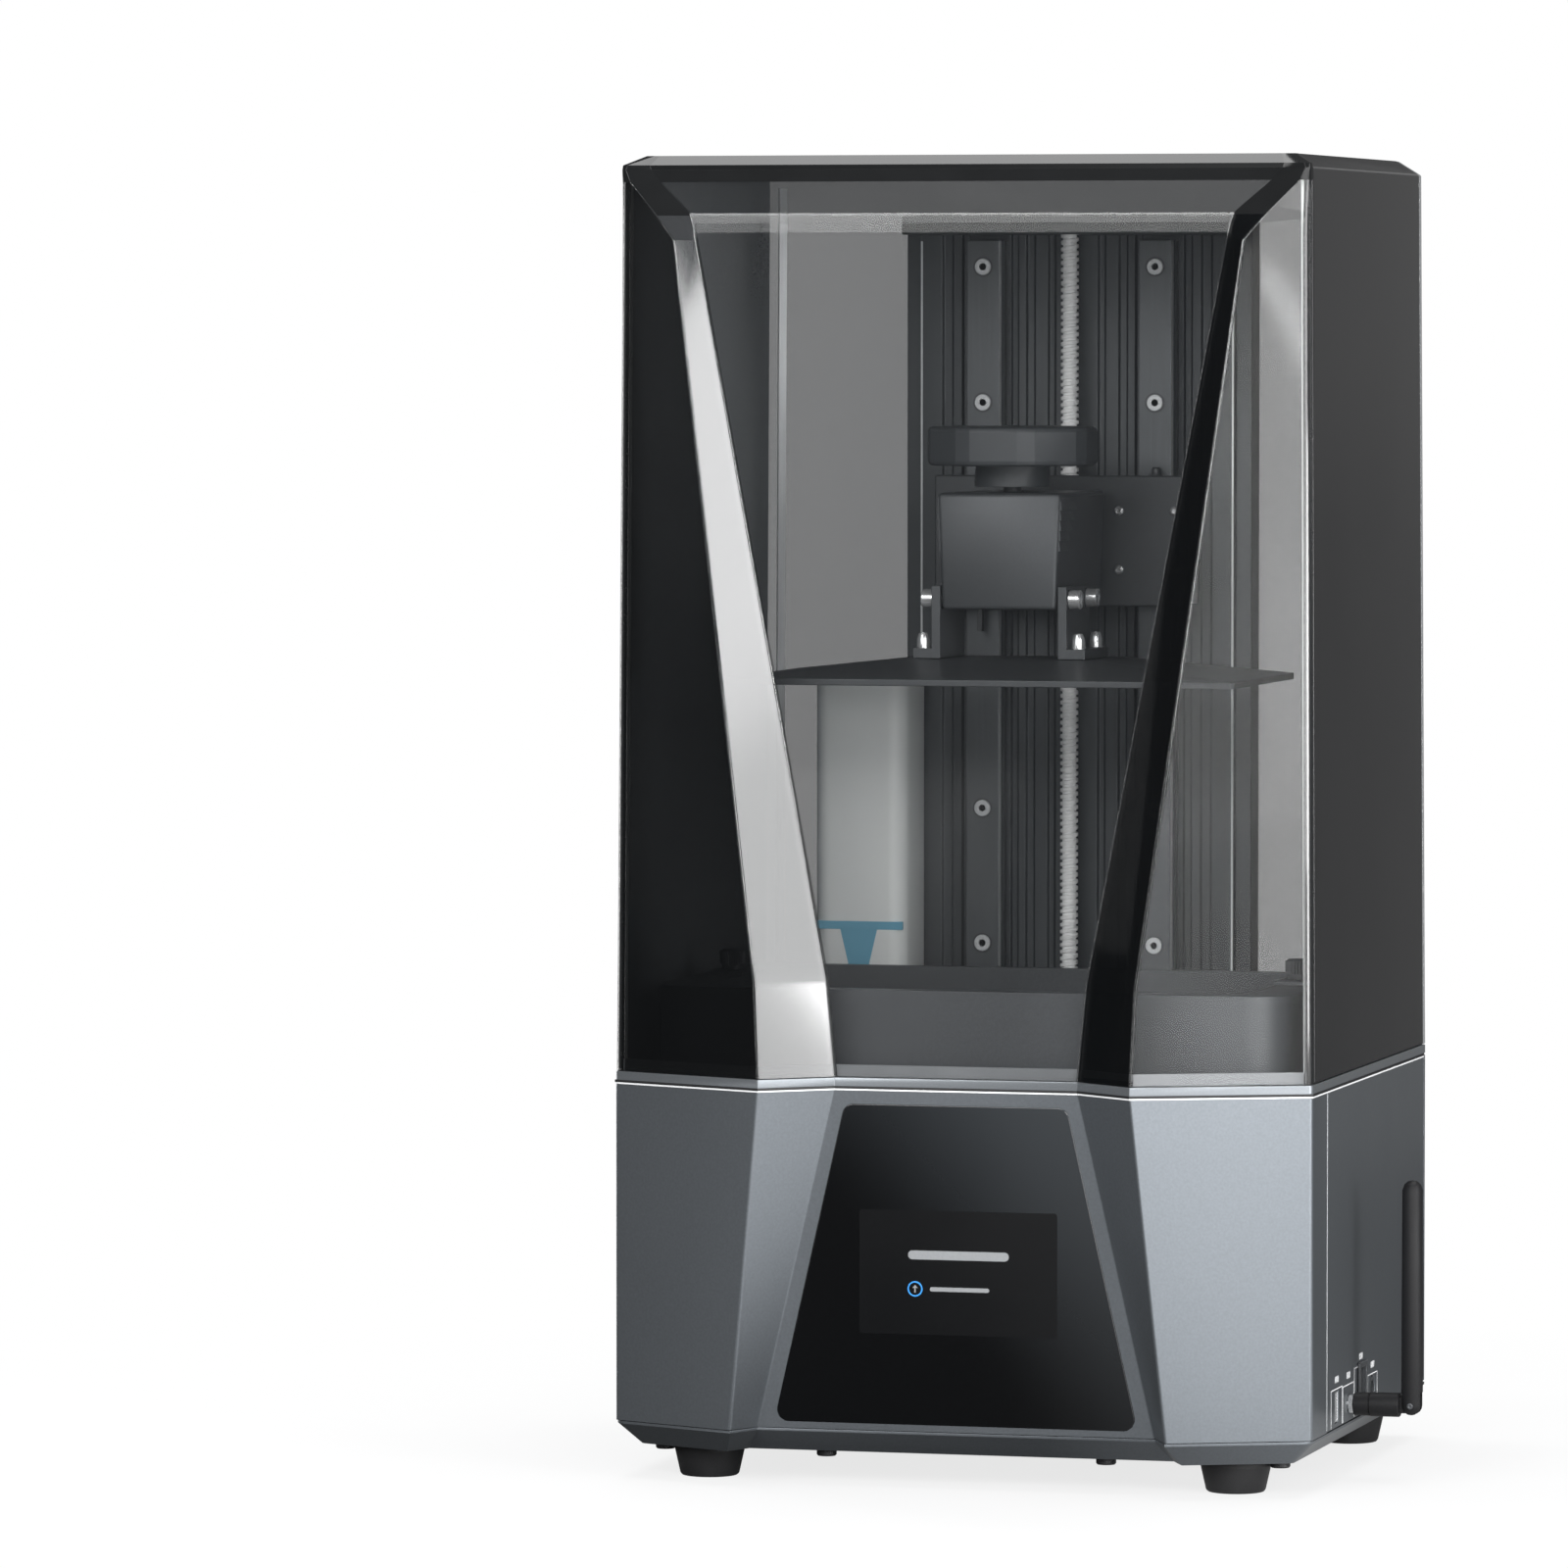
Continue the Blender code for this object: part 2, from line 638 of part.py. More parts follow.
def make_switch():
    x = HALF_WIDTH

    def block(name, start, end, half, look=None):
        low = (start, SWITCH_Y - half[0], SWITCH_Z - half[1])
        return box(name, low, (end, SWITCH_Y + half[0], SWITCH_Z + half[1]), look)

    housing = block("switch_housing", x - 0.0110, x + 0.0004, SWITCH_BODY, dark_plastic)
    boolean(housing, block("add_switch_flange", x + GAP, x + 0.0014, SWITCH_FLANGE), "UNION")
    boolean(housing, block("cut_switch_well", x - 0.0075, x + 0.01, SWITCH_WELL))
    pivot = Vector((x - 0.0012, SWITCH_Z))
    profile = [(-0.0030, -0.0078), (0.0008, -0.0078), (0, 0), (0.0008, 0.0078), (-0.0030, 0.0078)]
    pressed = Matrix.Rotation(ROCKER_TILT, 2)
    tip = [tuple(pivot + pressed @ Vector(point)) for point in profile]
    origin = (pivot[0], SWITCH_Y, pivot[1])
    extrude_outline("switch_rocker", tip, SWITCH_Y - 0.0051, SWITCH_Y + 0.0051, dark_plastic, "XZ", origin)


def make_antenna():
    x = HALF_WIDTH
    centre = (ANTENNA_Y, ANTENNA_Z)
    connector = cylinder("antenna_socket", (x - 0.0014, *centre), 0.0031, 0.0072, "X", steel, 16)
    nut = cylinder("add_antenna_nut", (x + 0.0013, *centre), 0.0043, 0.0018, "X", sides=6)
    boolean(connector, nut, "UNION")
    start = x + 0.0024
    end = ELBOW_X - WHIP_RADIUS - 0.0005
    middle = ((start + end) / 2, *centre)
    barrel = cylinder("antenna_barrel", middle, 0.0052, end - start, "X", rubber, 24, origin=(start, *centre))
    low = (end - 0.0020, centre[0] - 0.0019, centre[1] - 0.0034)
    tongue = box("add_barrel_tongue", low, (ELBOW_X + 0.0034, centre[0] + 0.0019, centre[1] + 0.0034))
    boolean(barrel, tongue, "UNION")
    tip = [(0, 0.0968), (0.0020, 0.0964), (0.0036, 0.0950), (0.0045, 0.0925)]
    quarter = [math.radians(angle) for angle in range(0, 91, 18)]
    heel = [(WHIP_RADIUS * math.cos(a), -WHIP_RADIUS * math.sin(a)) for a in quarter]
    heel[-1] = (0, -WHIP_RADIUS)
    whip = turned("antenna_whip", (ELBOW_X, *centre), tip + heel, rubber, steps=20)
    low = (ELBOW_X - 0.01, centre[0] - 0.0022, centre[1] - 0.01)
    slot = box("cut_whip_slot", low, (ELBOW_X + 0.01, centre[0] + 0.0022, centre[1] + 0.0058))
    boolean(whip, slot)


# ---------------------------------------------------------------- tower and drive


def make_tower():
    x, step, back = TOWER_HALF_X, TOWER_HALF_X - 0.0068, TOWER_REAR_Y
    web = TOWER_FACE_Y + 0.0050
    right = [
        (step, TOWER_FACE_Y),
        (step, TOWER_FACE_Y + 0.0027),
        (x, TOWER_FACE_Y + 0.0027),
        (x, back),
        (x - 0.0040, back),
        (x - 0.0040, web),
    ]
    outline = [(-a, b) for a, b in reversed(right)] + right
    extrude_outline("tower_column", outline, DECK_Z + GAP, TOWER_TOP_Z, dark_metal)
    for name, centre in (("rail_left", -RAIL_X), ("rail_right", RAIL_X)):
        half, front, back = RAIL_HALF, RAIL_FRONT_Y, TOWER_FACE_Y - GAP
        side = [
            (half, front),
            (half, front + 0.0042),
            (half - 0.0022, front + 0.0062),
            (half - 0.0022, front + 0.0082),
            (half, front + 0.0102),
            (half, back),
        ]
        outline = [(centre - a, b) for a, b in reversed(side)] + [(centre + a, b) for a, b in side]
        extrude_outline(name, outline, 0.1900, RAIL_TOP_Z, steel)
    low = (-BEARING_HALF_X, SCREW_Y - 0.0100, BEARING_LOW_Z)
    bearing = box("top_bearing", low, (BEARING_HALF_X, TOWER_FACE_Y - GAP, BEARING_TOP_Z), dark_metal)
    boolean(bearing, cylinder("cut_bearing", (0, SCREW_Y, BEARING_LOW_Z), SCREW_RADIUS + 0.0004, 0.04))


def make_screw():
    length = BEARING_TOP_Z - 0.0010 - 0.1840
    centre = (0, SCREW_Y, 0.1840 + length / 2)
    cylinder("lead_screw", centre, SCREW_RADIUS, length, look=steel, origin=(0, SCREW_Y, 0.3997))
    coupler = cylinder("motor_coupler", (0, SCREW_Y, 0.1832), 0.0090, 0.0236, look=aluminium)
    boolean(coupler, cylinder("cut_coupler", (0, SCREW_Y, 0.1832), SCREW_RADIUS + 0.0004, 0.04))


# ---------------------------------------------------------------- carriage


def make_carriage():
    front, back = CARRIAGE_Y, CARRIAGE_Y + CARRIAGE_THICK
    low = (-CARRIAGE_HALF_X, front, CARRIAGE_LOW_Z)
    bevel(box("carriage_plate", low, (CARRIAGE_HALF_X, back, CARRIAGE_TOP_Z), dark_metal), 0.0006, 1)
    for name, x in (("slide_block_left", -RAIL_X), ("slide_block_right", RAIL_X)):
        low = (x - 0.0170, back + GAP, CARRIAGE_LOW_Z + 0.0010)
        block = box(name, low, (x + 0.0170, 0.1035, CARRIAGE_TOP_Z - 0.0010), steel)
        low = (x - RAIL_HALF - 0.0004, RAIL_FRONT_Y - 0.0004, 0.3)
        boolean(block, box(f"cut_{name}", low, (x + RAIL_HALF + 0.0004, 0.12, 0.5)))
    nut = box("lead_nut", (-0.0130, back + GAP, 0.3820), (0.0130, 0.1048, 0.4160), brass)
    boolean(nut, cylinder("cut_nut", (0, SCREW_Y, 0.4), SCREW_RADIUS + 0.0004, 0.06))
    low = (-ARM_HALF_X, BLOCK_FRONT_Y + 0.0105, ARM_LOW_Z)
    bevel(box("carriage_arm", low, (ARM_HALF_X, front - GAP, ARM_TOP_Z), dark_metal), 0.0010, 1)
    low = (-0.0395, back + 0.0010, 0.3590)
    box("limit_flag", low, (-0.0372, back + 0.0050, CARRIAGE_LOW_Z + 0.0007), dark_metal)


# ---------------------------------------------------------------- head, knob and build plate


def make_head():
    bm = bmesh.new()
    bmesh.ops.create_cube(bm, size=1)
    height = BLOCK_TOP_Z - BLOCK_LOW_Z
    depth = BLOCK_REAR_Y - BLOCK_FRONT_Y
    for vert in bm.verts:
        half = BLOCK_HALF_TOP if vert.co.z > 0 else BLOCK_HALF_LOW
        vert.co.x *= 2 * half
        vert.co.y = vert.co.y * depth + (BLOCK_REAR_Y + BLOCK_FRONT_Y) / 2
        vert.co.z = vert.co.z * height + (BLOCK_TOP_Z + BLOCK_LOW_Z) / 2
    head = bevel(add_mesh("head_block", bm, dark_metal), 0.0020, 2)
    low = (-ARM_HALF_X - GAP, BLOCK_FRONT_Y + 0.0100, ARM_LOW_Z - GAP)
    boolean(head, box("cut_arm_tunnel", low, (ARM_HALF_X + GAP, 0.1, ARM_TOP_Z + GAP)))
    boolean(head, cylinder("cut_clamp_screw", (0, HEAD_Y, 0.4180), 0.0043, 0.0200, sides=24))
    for i, y in enumerate(BOLT_Y):
        boolean(head, cylinder(f"cut_bolt_{i}", (0, y, BOLT_Z), 0.0023, 0.08, "X", sides=12))


def make_side_bolts():
    wall_out = BRACKET_OUT + GAP
    head_end = wall_out + 0.0050
    right = [(0, head_end), (0.0041, head_end), (0.0041, wall_out), (0.0020, wall_out)]
    left = [(radius, -height) for radius, height in reversed(right)]
    for name, y in zip(("side_bolt_front", "side_bolt_rear"), BOLT_Y):
        turned(name, (0, y, BOLT_Z), right + left, steel, "X", 16)


def make_brackets():
    wall_in, wall_out, foot_out = BRACKET_IN, BRACKET_OUT, 0.0382
    low_z, foot_z, top_z = PLATE_TOP_Z + GAP, PLATE_TOP_Z + 0.0047, 0.3823
    for name, side in (("bracket_left", -1), ("bracket_right", 1)):
        outline = [
            (side * wall_in, low_z),
            (side * foot_out, low_z),
            (side * foot_out, foot_z),
            (side * wall_out, foot_z),
            (side * wall_out, top_z),
            (side * wall_in, top_z),
        ]
        bracket = extrude_outline(name, outline, -0.0380, 0.0060, dark_metal, "XZ")
        for i, y in enumerate(BOLT_Y):
            low = (side * BRACKET_IN - 0.009, y - 0.0023, BOLT_Z - 0.0042)
            slot = box(f"cut_{name}_slot_{i}", low, (side * BRACKET_IN + 0.009, y + 0.0023, BOLT_Z + 0.0042))
            boolean(bracket, slot)


def make_build_plate():
    rows = []
    half_x, half_y = PLATE_SIZE[0] / 2, PLATE_SIZE[1] / 2
    levels = ((half_x, half_y, PLATE_LOW_Z), (half_x, half_y, PLATE_EDGE_Z), (0.0440, 0.0285, PLATE_TOP_Z))
    for x, y, z in levels:
        ring = rounded_rectangle(x, y, 0.0015, 1, (0, PLATE_Y))
        rows.append(at_height(ring, z))
    plate = loft("build_plate", rows, dark_metal, closed=True, cap_first=True)
    bm = bmesh.new()
    bm.from_mesh(plate.data)
    bmesh.ops.holes_fill(bm, edges=bm.edges)
    bmesh.ops.recalc_face_normals(bm, faces=bm.faces)
    bm.to_mesh(plate.data)
    bm.free()


def make_knob():
    """An eight-sided hand knob with cut corners, on a round boss and a clamp screw."""
    low, high = 0.4342, 0.4511
    half_cut = math.radians(6)
    outline = []
    for i in range(8):
        for turn in (-half_cut, half_cut):
            angle = math.radians(22.5 + 45 * i) + turn
            outline.append((KNOB_RADIUS * math.cos(angle), HEAD_Y + KNOB_RADIUS * math.sin(angle)))
    origin = (0, HEAD_Y, 0.4400)
    knob = extrude_outline("clamp_knob", outline, low, high, dark_plastic, "XY", origin)
    bevel(knob, 0.0022, 2, 60)
    boss = cylinder("add_knob_boss", (0, HEAD_Y, 0.4300), 0.0165, 0.0100, radius_end=0.0160)
    boolean(knob, boss, "UNION")
    screw_low = ARM_TOP_Z + 0.0006
    screw = cylinder("add_clamp_screw", (0, HEAD_Y, (screw_low + 0.432) / 2), 0.0038, 0.432 - screw_low)
    boolean(knob, screw, "UNION")


# ---------------------------------------------------------------- vat


def make_vat():
    centre_y = (VAT_FRONT_Y + VAT_REAR_Y) / 2
    half_y = (VAT_REAR_Y - VAT_FRONT_Y) / 2
    outer = (VAT_HALF_X, half_y, 0.0180, VAT_LOW_Z, VAT_TOP_Z)
    vat = rounded_box("vat_body", *outer, vat_plastic, (0, centre_y), 8)
    basin_y = (BASIN_FRONT_Y + BASIN_REAR_Y) / 2
    basin_half = (BASIN_REAR_Y - BASIN_FRONT_Y) / 2
    basin = ("cut_basin", BASIN_HALF_X, basin_half, 0.0120, 0.16, 0.23, None, (0, basin_y), 5)
    for side in (-1, 1):
        low = (side * THUMB_X - 0.0080, THUMB_Y - 0.0130, VAT_TOP_Z - 0.0020)
        high = (side * THUMB_X + 0.0080, THUMB_Y + 0.0130, LUG_TOP_Z)
        boolean(vat, box(f"add_lug_{side}", low, high), "UNION")
    boolean(vat, rounded_box(*basin))
    for side in (-1, 1):
        place = (side * THUMB_X, THUMB_Y, 0.19)
        boolean(vat, cylinder(f"cut_lug_{side}", place, 0.0026, 0.06, sides=12))
    film = (BASIN_HALF_X + 0.0045, basin_half + 0.0035, 0.0140)
    rounded_box("vat_film", *film, 0.1742, 0.1747, clear_film, (0, basin_y), 4)
    frame = rounded_box("film_frame", *film, 0.1721, 0.1739, aluminium, (0, basin_y), 4)
    inner = (BASIN_HALF_X - 0.0010, basin_half - 0.0010, 0.0100)
    boolean(frame, rounded_box("cut_film_frame", *inner, 0.16, 0.18, None, (0, basin_y), 4))


def make_thumb_screws():
    low, high = LUG_TOP_Z + GAP, 0.2220
    for name, side in (("thumb_screw_left", -1), ("thumb_screw_right", 1)):
        place = (side * THUMB_X, THUMB_Y, low)
        profile = [
            (0, high - low),
            (0.0050, high - low),
            (0.0057, high - low - 0.0007),
            (0.0057, 0.0024),
            (0.0048, 0.0020),
            (0.0048, 0),
            (0.0020, 0),
            (0.0020, 0.1620 - low),
            (0, 0.1620 - low),
        ]
        turned(name, place, profile, dark_metal, steps=20)


# ---------------------------------------------------------------- air purifier


def make_purifier():
    half = PURIFIER_SIDE / 2
    centre = (PURIFIER_X, PURIFIER_Y)
    low = DECK_Z + 0.0070
    body = rounded_box("purifier_body", half, half, 0.0080, low, PURIFIER_TOP_Z, light_plastic, centre, 6)
    hollow = (half - 0.002, half - 0.002, 0.006)
    boolean(body, rounded_box("cut_purifier", *hollow, 0.15, PURIFIER_TOP_Z - 0.002, None, centre, 3))
    foot = (half - 0.0005, half - 0.0005, 0.0075)
    rounded_box("purifier_base", *foot, DECK_Z + GAP, low - GAP, dark_plastic, centre, 4)
    place = (PURIFIER_X, PURIFIER_Y, 0.2500)
    cylinder("purifier_filter", place, 0.0160, 0.1200, look=filter_black, sides=20)


# ---------------------------------------------------------------- cover


def cover_half_width(z):
    return HALF_WIDTH - COVER_DRAFT * (z - COVER_Z) / (SHOULDER_Z - COVER_Z)


def cover_corner_y(z):
    return CORNER_Y + COVER_DRAFT * (z - COVER_Z) / (SHOULDER_Z - COVER_Z)


def make_cover_front():
    roof_half = cover_half_width(SHOULDER_Z) - ROOF_INSET_X
    roof_y = cover_corner_y(SHOULDER_Z) + ROOF_INSET_Y
    levels = [
        (COVER_Z, WING_EDGE_SEAM, PANEL_SEAM, PANEL_Y),
        (OUTER_KNEE_Z, WING_EDGE_KNEE, PANEL_KNEE - 0.0009, -0.1087),
        (INNER_KNEE_Z, WING_EDGE_KNEE + 0.0046, PANEL_KNEE, -0.1085),
        (UPPER_FOLD_Z, 0.1462, 0.1335, -0.1017),
        (SHOULDER_Z, 0.1485, 0.1378, -0.0995),
    ]
    rows = []
    for z, wing_edge, panel_edge, panel_y in levels:
        plan = front_plan(cover_half_width(z), cover_corner_y(z), wing_edge, panel_edge, panel_y)
        rows.append(at_height(plan, z))
    top = [(roof_half - 0.0030, roof_y), (roof_half - 0.0010, roof_y), (roof_half, roof_y)]
    rows.append(at_height([(-x, y) for x, y in reversed(top)] + top, ROOF_Z))
    loft("cover_front_window", rows, tinted_clear, WALL)


def make_cover_shell():
    """The two sides and the roof, one inverted U between the clear front and the clear rear."""
    joint = WALL + 0.0016
    roof_half = cover_half_width(SHOULDER_Z) - ROOF_INSET_X
    columns = [
        (COVER_Z, HALF_WIDTH, CORNER_Y, REAR_Y),
        (SHOULDER_Z, cover_half_width(SHOULDER_Z), cover_corner_y(SHOULDER_Z), REAR_Y - COVER_DRAFT),
        (
            ROOF_Z,
            roof_half,
            cover_corner_y(SHOULDER_Z) + ROOF_INSET_Y,
            REAR_Y - COVER_DRAFT - ROOF_INSET_Y,
        ),
    ]
    front = [(x, front_y + joint, z) for z, x, front_y, _ in columns]
    rear = [(x, rear_y - joint, z) for z, x, _, rear_y in columns]
    rows = []
    for side in (front, rear):
        rows.append([(-x, y, z) for x, y, z in side] + [(x, y, z) for x, y, z in reversed(side)])
    loft("cover_shell", rows, cover_black, WALL)


def make_cover_rear():
    roof_half = cover_half_width(SHOULDER_Z) - ROOF_INSET_X
    levels = (
        (COVER_Z, HALF_WIDTH, REAR_Y),
        (SHOULDER_Z, cover_half_width(SHOULDER_Z), REAR_Y - COVER_DRAFT),
        (ROOF_Z, roof_half, REAR_Y - COVER_DRAFT - ROOF_INSET_Y),
    )
    rows = [[(half, y, z), (-half, y, z)] for z, half, y in levels]
    loft("cover_rear_window", rows, tinted_clear, WALL)


def make_cover_rim():
    rows = [at_height(base_ring(BASE_TOP_Z, 0, 0.003), z) for z in (BASE_TOP_Z + 0.0006, COVER_Z - GAP)]
    loft("cover_rim", rows, trim_silver, 0.0026, closed=True)


# ---------------------------------------------------------------- build

clear_scene()
parts = new_collection("resin_printer")
cutters = new_collection("cutters")

shell_grey = material("shell_grey", (0.11, 0.125, 0.145), 0.42)
trim_silver = material("trim_silver", (0.40, 0.42, 0.44), 0.30, 0.6)
black_glass = material("black_glass", (0.005, 0.005, 0.006), 0.06)
lcd_glass = material("lcd_glass", (0.02, 0.02, 0.03), 0.15)
dark_plastic = material("dark_plastic", (0.04, 0.045, 0.05), 0.45)
dark_metal = material("dark_metal", (0.06, 0.068, 0.075), 0.48, 0.3)
vat_plastic = material("vat_plastic", (0.055, 0.06, 0.065), 0.5)
steel = material("steel", (0.62, 0.63, 0.64), 0.25, 1.0)
aluminium = material("aluminium", (0.55, 0.56, 0.57), 0.35, 1.0)
brass = material("brass", (0.70, 0.52, 0.25), 0.35, 1.0)
rubber = material("rubber", (0.012, 0.012, 0.013), 0.7)
board_green = material("board_green", (0.02, 0.12, 0.06), 0.5)
reflector = material("reflector", (0.75, 0.75, 0.75), 0.2, 0.9)
clear_film = material("clear_film", (0.8, 0.85, 0.9), 0.1, alpha=0.3)
light_plastic = material("light_plastic", (0.42, 0.44, 0.46), 0.45)
filter_black = material("filter_black", (0.02, 0.02, 0.02), 0.9)
tinted_clear = material("tinted_clear", (0.20, 0.21, 0.22), 0.05, alpha=0.35)
cover_black = material("cover_black", (0.015, 0.016, 0.017), 0.12)

make_front_fascia()
make_front_glass()
make_touchscreen()
make_side_panel("side_panel_left", -1)
cut_ports(make_side_panel("side_panel_right", 1))
make_rear_panel()
make_bottom_tray()
make_feet()
make_deck()
make_screen()
make_light_engine()
make_mainboard()
make_motor()
make_exhaust_fan()
make_ports()
make_switch()
make_antenna()
make_tower()
make_screw()
make_carriage()
make_head()
make_side_bolts()
make_brackets()
make_build_plate()
make_knob()
make_vat()
make_thumb_screws()
make_purifier()
make_cover_front()
make_cover_shell()
make_cover_rear()
make_cover_rim()
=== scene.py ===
"""Looks of the resin printer: finishes for every piece, and fine shape built around the CAD frame.

Metres, +Z up, -Y to the printer's front, as in the frame.
"""

import json
import math

import bmesh
import bpy
from mathutils import Matrix, Vector

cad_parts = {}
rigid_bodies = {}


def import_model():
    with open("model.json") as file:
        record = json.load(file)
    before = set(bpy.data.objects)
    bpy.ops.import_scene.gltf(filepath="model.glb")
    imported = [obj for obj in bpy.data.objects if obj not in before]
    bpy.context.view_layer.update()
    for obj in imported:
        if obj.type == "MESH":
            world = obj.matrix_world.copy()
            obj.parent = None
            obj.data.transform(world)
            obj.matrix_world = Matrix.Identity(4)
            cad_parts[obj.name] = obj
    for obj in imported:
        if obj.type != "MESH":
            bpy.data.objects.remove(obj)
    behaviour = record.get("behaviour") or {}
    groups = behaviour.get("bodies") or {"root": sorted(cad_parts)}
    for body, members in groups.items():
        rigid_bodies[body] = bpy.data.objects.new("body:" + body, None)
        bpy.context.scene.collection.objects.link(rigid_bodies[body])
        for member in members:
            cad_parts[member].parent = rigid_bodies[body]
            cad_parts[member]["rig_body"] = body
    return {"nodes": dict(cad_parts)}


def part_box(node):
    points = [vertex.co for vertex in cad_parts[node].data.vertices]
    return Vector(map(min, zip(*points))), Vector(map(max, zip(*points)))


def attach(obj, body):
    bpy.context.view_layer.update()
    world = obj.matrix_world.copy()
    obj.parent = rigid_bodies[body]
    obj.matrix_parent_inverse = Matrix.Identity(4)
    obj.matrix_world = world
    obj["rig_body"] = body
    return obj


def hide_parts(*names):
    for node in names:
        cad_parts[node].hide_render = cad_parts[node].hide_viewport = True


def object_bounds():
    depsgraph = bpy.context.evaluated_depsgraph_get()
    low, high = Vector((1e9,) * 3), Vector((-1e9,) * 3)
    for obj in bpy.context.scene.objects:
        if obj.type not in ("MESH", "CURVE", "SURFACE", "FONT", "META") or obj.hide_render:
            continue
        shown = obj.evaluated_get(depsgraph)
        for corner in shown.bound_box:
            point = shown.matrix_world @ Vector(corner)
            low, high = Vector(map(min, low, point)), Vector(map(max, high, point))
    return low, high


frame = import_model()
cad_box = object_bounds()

# ---- view, floor and lights

CAMERA_TURN = math.radians(15.1)
CAMERA_RISE = math.radians(2.75)
CAMERA_REACH = 4.258
CAMERA_LENS = 222.3
AIM = Vector((-0.1103, 0.0155, 0.2933))
LIGHT_AIM = Vector((0, 0, 0.3))
WORLD_GLOSS = 0.11
WORLD_MATT = 0.34
FLOOR_DIM = 0.05
FLOOR_BRIGHT = 1.5
FLOOR_LIT_SIDE = math.radians(75)

# Soft boxes round the printer: name, turn to the right and rise in degrees, distance,
# width and height, and how bright the face is
LIGHTS = [
    ("key_facet", 58, 18.6, 2.6, (1.05, 0.62), 9.0),
    ("key_facet_low", 58, 4.4, 2.6, (1.05, 0.67), 5.7),
    ("key_wing", 34, 3.0, 2.6, (0.95, 0.46), 6.4),
    ("key_wing_low", 34, -4.25, 2.6, (0.95, 0.2), 3.9),
    ("key_side", 68, -1.0, 2.6, (0.9, 0.4), 11.0),
    ("fill_high", -16, 24, 3.0, (1.7, 0.6), 6.8),
    ("fold_line", -16, 31, 3.0, (1.7, 0.16), 15.0),
    ("fill_low", -16, 15, 3.0, (1.8, 0.4), 9.0),
    ("fill_right", 24, 18, 3.0, (0.8, 0.6), 12.0),
    ("fill_under", 8, 6, 3.0, (0.6, 0.3), 20.0),
    ("line_left", -40, 2, 2.6, (0.16, 0.9), 8.0),
    ("top", 0, 97, 2.2, (2.0, 1.7), 4.8),
    ("edge_left", -118, 8, 2.4, (0.3, 1.9), 9.0),
    ("behind", 170.6, 4, 1.52, (0.24, 1.2), 0.35),
]


def towards(turn, rise):
    """The unit vector that points to the front, turned to the right and raised."""
    flat = math.cos(rise)
    return Vector((math.sin(turn) * flat, -math.cos(turn) * flat, math.sin(rise)))


def linked(name, data):
    """A new object in the scene's collection."""
    obj = bpy.data.objects.new(name, data)
    bpy.context.scene.collection.objects.link(obj)
    return obj


def stand_off(obj, target, turn, rise, reach):
    """Puts the object at a distance from a point, and faces it towards the point."""
    obj.location = target + towards(turn, rise) * reach
    obj.rotation_euler = (target - obj.location).to_track_quat("-Z", "Y").to_euler()


def make_camera():
    data = bpy.data.cameras.new("camera")
    data.lens = CAMERA_LENS
    data.sensor_width = 36.0
    data.clip_end = 100.0
    camera = linked("camera", data)
    stand_off(camera, AIM, CAMERA_TURN, CAMERA_RISE, CAMERA_REACH)
    bpy.context.scene.camera = camera


def make_light(name, turn, rise, reach, size, glow):
    data = bpy.data.lights.new(name, "AREA")
    data.shape = "RECTANGLE"
    data.size, data.size_y = size
    data.energy = glow * math.pi * size[0] * size[1]
    light = linked(name, data)
    light.visible_camera = False
    stand_off(light, LIGHT_AIM, math.radians(turn), math.radians(rise), reach)


def put(node, **values):
    """Sets inputs of a shader node; an underscore stands for a space in an input's name."""
    for key, value in values.items():
        node.inputs[key.replace("_", " ")].default_value = value


def make_world():
    """Pale surroundings: white where seen, softer on matt surfaces, dim in gloss."""
    world = bpy.data.worlds.new("studio")
    bpy.context.scene.world = world
    world.use_nodes = True
    nodes, links = world.node_tree.nodes, world.node_tree.links
    nodes.clear()
    path = nodes.new("ShaderNodeLightPath")
    shades = []
    for strength in (WORLD_GLOSS, WORLD_MATT, 1.0):
        shade = nodes.new("ShaderNodeBackground")
        put(shade, Color=(1, 1, 1, 1), Strength=strength)
        shades.append(shade.outputs["Background"])
    seen = shades[0]
    for ray, shade in (("Is Diffuse Ray", shades[1]), ("Is Camera Ray", shades[2])):
        mix = nodes.new("ShaderNodeMixShader")
        links.new(path.outputs[ray], mix.inputs["Fac"])
        links.new(seen, mix.inputs[1])
        links.new(shade, mix.inputs[2])
        seen = mix.outputs["Shader"]
    out = nodes.new("ShaderNodeOutputWorld")
    links.new(seen, out.inputs["Surface"])


# ---- finishes


def noise_node(tree, coords, scale, detail=3.0, stretch=(1, 1, 1)):
    link = tree.links.new
    mapping = tree.nodes.new("ShaderNodeMapping")
    put(mapping, Scale=stretch)
    noise = tree.nodes.new("ShaderNodeTexNoise")
    put(noise, Scale=scale, Detail=detail)
    link(coords.outputs["Object"], mapping.inputs["Vector"])
    link(mapping.outputs["Vector"], noise.inputs["Vector"])
    return noise


def map_range(tree, value, start, end, low=0.0, high=1.0, kind="LINEAR"):
    """The value carried from start..end to low..high, and held outside."""
    node = tree.nodes.new("ShaderNodeMapRange")
    node.interpolation_type = kind
    put(node, From_Min=start, From_Max=end, To_Min=low, To_Max=high)
    tree.links.new(value, node.inputs["Value"])
    return node.outputs["Result"]


def dot_with(tree, coords, direction):
    """How far a place lies along a direction."""
    node = tree.nodes.new("ShaderNodeVectorMath")
    node.operation = "DOT_PRODUCT"
    node.inputs[1].default_value = direction
    tree.links.new(coords.outputs["Object"], node.inputs[0])
    return node.outputs["Value"]


